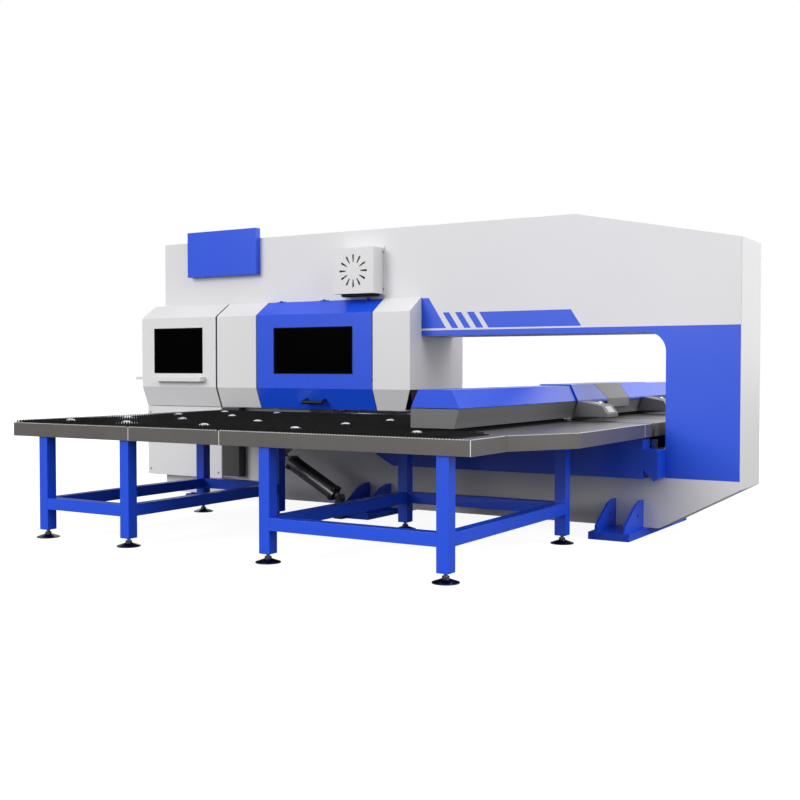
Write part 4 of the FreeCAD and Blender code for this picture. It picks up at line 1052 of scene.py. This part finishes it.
@dataclass
class Fasteners:
    """Button-head screws of the rear panel, the fan casing and the cabinet.

    Attributes:
        radius: Radius of a head.
        height: Height of a head.
        boss: Radius and height of the raised middle, over the head's own.
        rows: Number of rows on the rear panel.
        row_first: Height of the lowest row.
        row_pitch: Distance between rows.
        row_inset: Distance of a screw from the webs' edge.
        row_root: How deep a rear screw starts under its head.
        row_sunk: How far its face lies under the panel's outer face.
        fan_inset: Distance of a screw from the casing's side, and from its top or foot.
        fan_plate: Distance of the casing's back plate from the frame's plate.
        fan_flat: Height of a screw on the casing, over a full one's.
        cabinet_x: Places of the cabinet's screws from its left end.
        cabinet_inset: Their distance from the cabinet's foot and from its top.
    """

    radius: float = 9.0
    height: float = 3.5
    boss: Point2 = (0.55, 1.5)
    rows: int = 6
    row_first: float = 420.0
    row_pitch: float = 330.0
    row_inset: float = 20.0
    row_root: float = 2.0
    row_sunk: float = 0.2
    fan_inset: Point2 = (7.0, 50.0)
    fan_plate: float = 10.0
    fan_flat: float = 0.6
    cabinet_x: Point2 = (35.0, 860.0)
    cabinet_inset: Point2 = (50.0, 60.0)

    def head(self, pile: Pile, place: Vector, out: Vector) -> None:
        """Adds one round head with a small hexagonal boss on it.

        Args:
            pile: Piece that takes it.
            place: Middle of the head's foot.
            out: Direction away from the panel, whose length scales the height.
        """
        width, rise = self.boss
        pile.rod(place, place + out * self.height * MM, self.radius * MM, sides=16)
        pile.rod(place, place + out * self.height * rise * MM, self.radius * width * MM, sides=6)

    def build(self) -> None:
        """Adds the screws of the rear panel, fan casing and cabinet."""
        pile = Pile()
        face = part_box("end_panels")[1].x
        foot = face - (self.height * self.boss[1] + self.row_root) * MM
        low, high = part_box("frame_webs")
        inset = self.row_inset * MM
        for row in range(self.rows):
            z = (self.row_first + row * self.row_pitch) * MM
            for y in (low.y + inset, high.y - inset):
                end = Vector((face - self.row_sunk * MM, y, z))
                pile.rod(Vector((foot, y, z)), end, self.radius * MM, sides=16)
        low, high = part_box("fan_box")
        side, inset = (value * MM for value in self.fan_inset)
        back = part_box("frame_plate_near")[0].y - self.fan_plate * MM
        for x in (low.x + side, high.x - side):
            for z in (low.z + inset, high.z - inset):
                self.head(pile, Vector((x, back, z)), Vector((0, -self.fan_flat, 0)))
        low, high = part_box("lower_cabinet")
        bottom, top = (value * MM for value in self.cabinet_inset)
        for x in (low.x + value * MM for value in self.cabinet_x):
            for z in (low.z + bottom, high.z - top):
                self.head(pile, Vector((x, low.y, z)), Vector((0, -1, 0)))
        pile.piece("panel_screws", "root", MACHINED, "machined_steel")


@dataclass
class Studio:
    """Seamless white studio: floor, sky, soft frontal light and camera.

    Attributes:
        camera: Camera's place from the frame's middle and the floor, in metres.
        forward: Direction that it looks in.
        lens: Focal length in millimetres.
        sensor: Width of the sensor in millimetres.
        floor_half: Half the floor's side in metres.
        ambient: Strength of the sky on matt surfaces.
        mirror_low: Strength of the sky in reflections, away from the white card.
        mirror_card: Extra strength where the white card stands.
        card: Direction towards the card, behind the rear column.
        card_span: Closeness to that direction where the card fades in and is full.
        sun_from: Direction that the main light comes from.
        sun_strength: Strength of the main light.
        sun_angle_deg: Apparent size of the main light, which softens its shadows.
        side_from: Direction that the side light comes from.
        side_strength: Strength of the side light.
        side_angle_deg: Apparent size of the side light.
        zenith: Extra strength of the sky overhead.
        paper_glow: Light that the floor adds towards the camera.
        floor_drop: How far the floor lies under the feet, in millimetres.
    """

    camera: Point3 = (4.668, -8.045, 1.218)
    forward: Point3 = (-0.5213, 0.8529, -0.0298)
    lens: float = 50.0
    sensor: float = 36.0
    floor_half: float = 60.0
    ambient: float = 0.46
    mirror_low: float = 0.3
    mirror_card: float = 1.5
    card: Point3 = (0.5, 0.85, 0.15)
    card_span: Point2 = (0.25, 0.85)
    sun_from: Point3 = (-0.32, -0.86, 0.4)
    sun_strength: float = 1.95
    sun_angle_deg: float = 38.0
    side_from: Point3 = (0.84, 0.06, 0.52)
    side_strength: float = 1.75
    side_angle_deg: float = 60.0
    zenith: float = 0.25
    paper_glow: float = 0.92
    floor_drop: float = 0.5

    def sky(self) -> None:
        """Makes the sky: plain white to the camera, dimmer as light, with a white card in reflections."""
        world = bpy.data.worlds.new("white_studio")
        world.use_nodes = True
        tree = world.node_tree
        tree.nodes.clear()
        ray = add_node(tree, "ShaderNodeLightPath", {}, {})
        way = add_node(tree, "ShaderNodeTexCoord", {}, {}).outputs["Generated"]
        card_way = Vector(self.card).normalized()
        towards = add_node(tree, "ShaderNodeVectorMath", {"operation": "DOT_PRODUCT", 1: card_way}, {0: way})
        card = add_node(
            tree,
            "ShaderNodeMapRange",
            {
                "interpolation_type": "SMOOTHSTEP",
                "From Min": self.card_span[0],
                "From Max": self.card_span[1],
                "To Min": self.mirror_low,
                "To Max": self.mirror_low + self.mirror_card,
            },
            {"Value": towards.outputs["Value"]},
        )
        parts = add_node(tree, "ShaderNodeSeparateXYZ", {}, {"Vector": way})
        dome = add_node(
            tree,
            "ShaderNodeMapRange",
            {"To Min": self.ambient, "To Max": self.ambient + self.zenith},
            {"Value": parts.outputs["Z"]},
        )
        glossy = add_node(
            tree,
            "ShaderNodeMix",
            {"data_type": "FLOAT"},
            {0: ray.outputs["Is Glossy Ray"], 2: dome.outputs["Result"], 3: card.outputs["Result"]},
        )
        seen = add_node(
            tree,
            "ShaderNodeMix",
            {"data_type": "FLOAT", 3: 1.0},
            {0: ray.outputs["Is Camera Ray"], 2: glossy.outputs[0]},
        )
        white = add_node(
            tree, "ShaderNodeBackground", {"Color": linear("#FFFFFF")}, {"Strength": seen.outputs[0]}
        )
        add_node(tree, "ShaderNodeOutputWorld", {}, {"Surface": white.outputs["Background"]})
        bpy.context.scene.world = world

    def paper(self) -> bpy.types.Material:
        """Makes the floor's paper: white to the camera with faint shadows, pale grey as a bounce.

        Returns:
            The material.
        """
        material = bpy.data.materials.new("white_paper_floor")
        material.use_nodes = True
        tree = material.node_tree
        tree.nodes.clear()
        ray = add_node(tree, "ShaderNodeLightPath", {}, {})
        fibre = add_node(tree, "ShaderNodeTexNoise", {"Scale": 40.0, "Detail": 3.0}, {})
        tint = add_node(
            tree,
            "ShaderNodeMix",
            {"data_type": "RGBA", 6: linear("#8E8E8E"), 7: linear("#888888")},
            {0: fibre.outputs["Fac"]},
        )
        matt = add_node(tree, "ShaderNodeBsdfDiffuse", {}, {"Color": tint.outputs[2]})
        shine = {"Color": linear("#FFFFFF"), "Strength": self.paper_glow}
        glow = add_node(tree, "ShaderNodeEmission", shine, {})
        pair = {0: matt.outputs["BSDF"], 1: glow.outputs["Emission"]}
        both = add_node(tree, "ShaderNodeAddShader", {}, pair)
        seen = add_node(
            tree,
            "ShaderNodeMixShader",
            {},
            {0: ray.outputs["Is Camera Ray"], 1: matt.outputs["BSDF"], 2: both.outputs["Shader"]},
        )
        add_node(tree, "ShaderNodeOutputMaterial", {}, {"Surface": seen.outputs["Shader"]})
        return material

    def floor(self) -> None:
        """Adds the plain pale floor."""
        half = self.floor_half
        mesh = bpy.data.meshes.new("studio_floor")
        corners = [(-half, -half, 0), (half, -half, 0), (half, half, 0), (-half, half, 0)]
        mesh.from_pydata(corners, [], [(0, 1, 2, 3)])
        mesh.materials.append(self.paper())
        made = bpy.data.objects.new("studio_floor", mesh)
        made.location.z = -self.floor_drop * MM
        bpy.context.scene.collection.objects.link(made)

    def broad_light(self, name: str, source: Point3, strength: float, angle_deg: float) -> None:
        """Adds a large soft light at a distance.

        Args:
            name: Name of the light.
            source: Direction that it comes from.
            strength: Strength in watts per square metre.
            angle_deg: Apparent size in degrees.
        """
        light = bpy.data.lights.new(name, "SUN")
        light.energy = strength
        light.angle = math.radians(angle_deg)
        holder = bpy.data.objects.new(name, light)
        holder.rotation_euler = Vector(source).to_track_quat("Z", "Y").to_euler()
        bpy.context.scene.collection.objects.link(holder)

    def main_view(self) -> None:
        """Adds the camera."""
        camera = bpy.data.cameras.new("main_view")
        camera.lens = self.lens
        camera.sensor_width = self.sensor
        camera.clip_end = 200.0
        holder = bpy.data.objects.new("main_view", camera)
        x, y, z = self.camera
        holder.location = (middle_x() + x, y, z)
        holder.rotation_euler = Vector(self.forward).to_track_quat("-Z", "Y").to_euler()
        bpy.context.scene.collection.objects.link(holder)
        bpy.context.scene.camera = holder

    def build(self) -> None:
        """Adds the floor, sky, light and camera."""
        self.floor()
        self.sky()
        self.broad_light("front_softbox", self.sun_from, self.sun_strength, self.sun_angle_deg)
        self.broad_light("side_softbox", self.side_from, self.side_strength, self.side_angle_deg)
        self.main_view()
        bpy.context.scene.view_settings.view_transform = "Standard"


def main() -> None:
    """Builds every sub-assembly in order."""
    logging.basicConfig(level=logging.INFO, format="%(message)s")
    Studio().build()
    CadFinishes().build()
    PaintFields().build()
    BrushField().build()
    TableTrim().build()
    WindowTrim().build()
    ArmFittings().build()
    CylinderFittings().build()
    Closures().build()
    Fasteners().build()


if __name__ == "__main__":
    main()
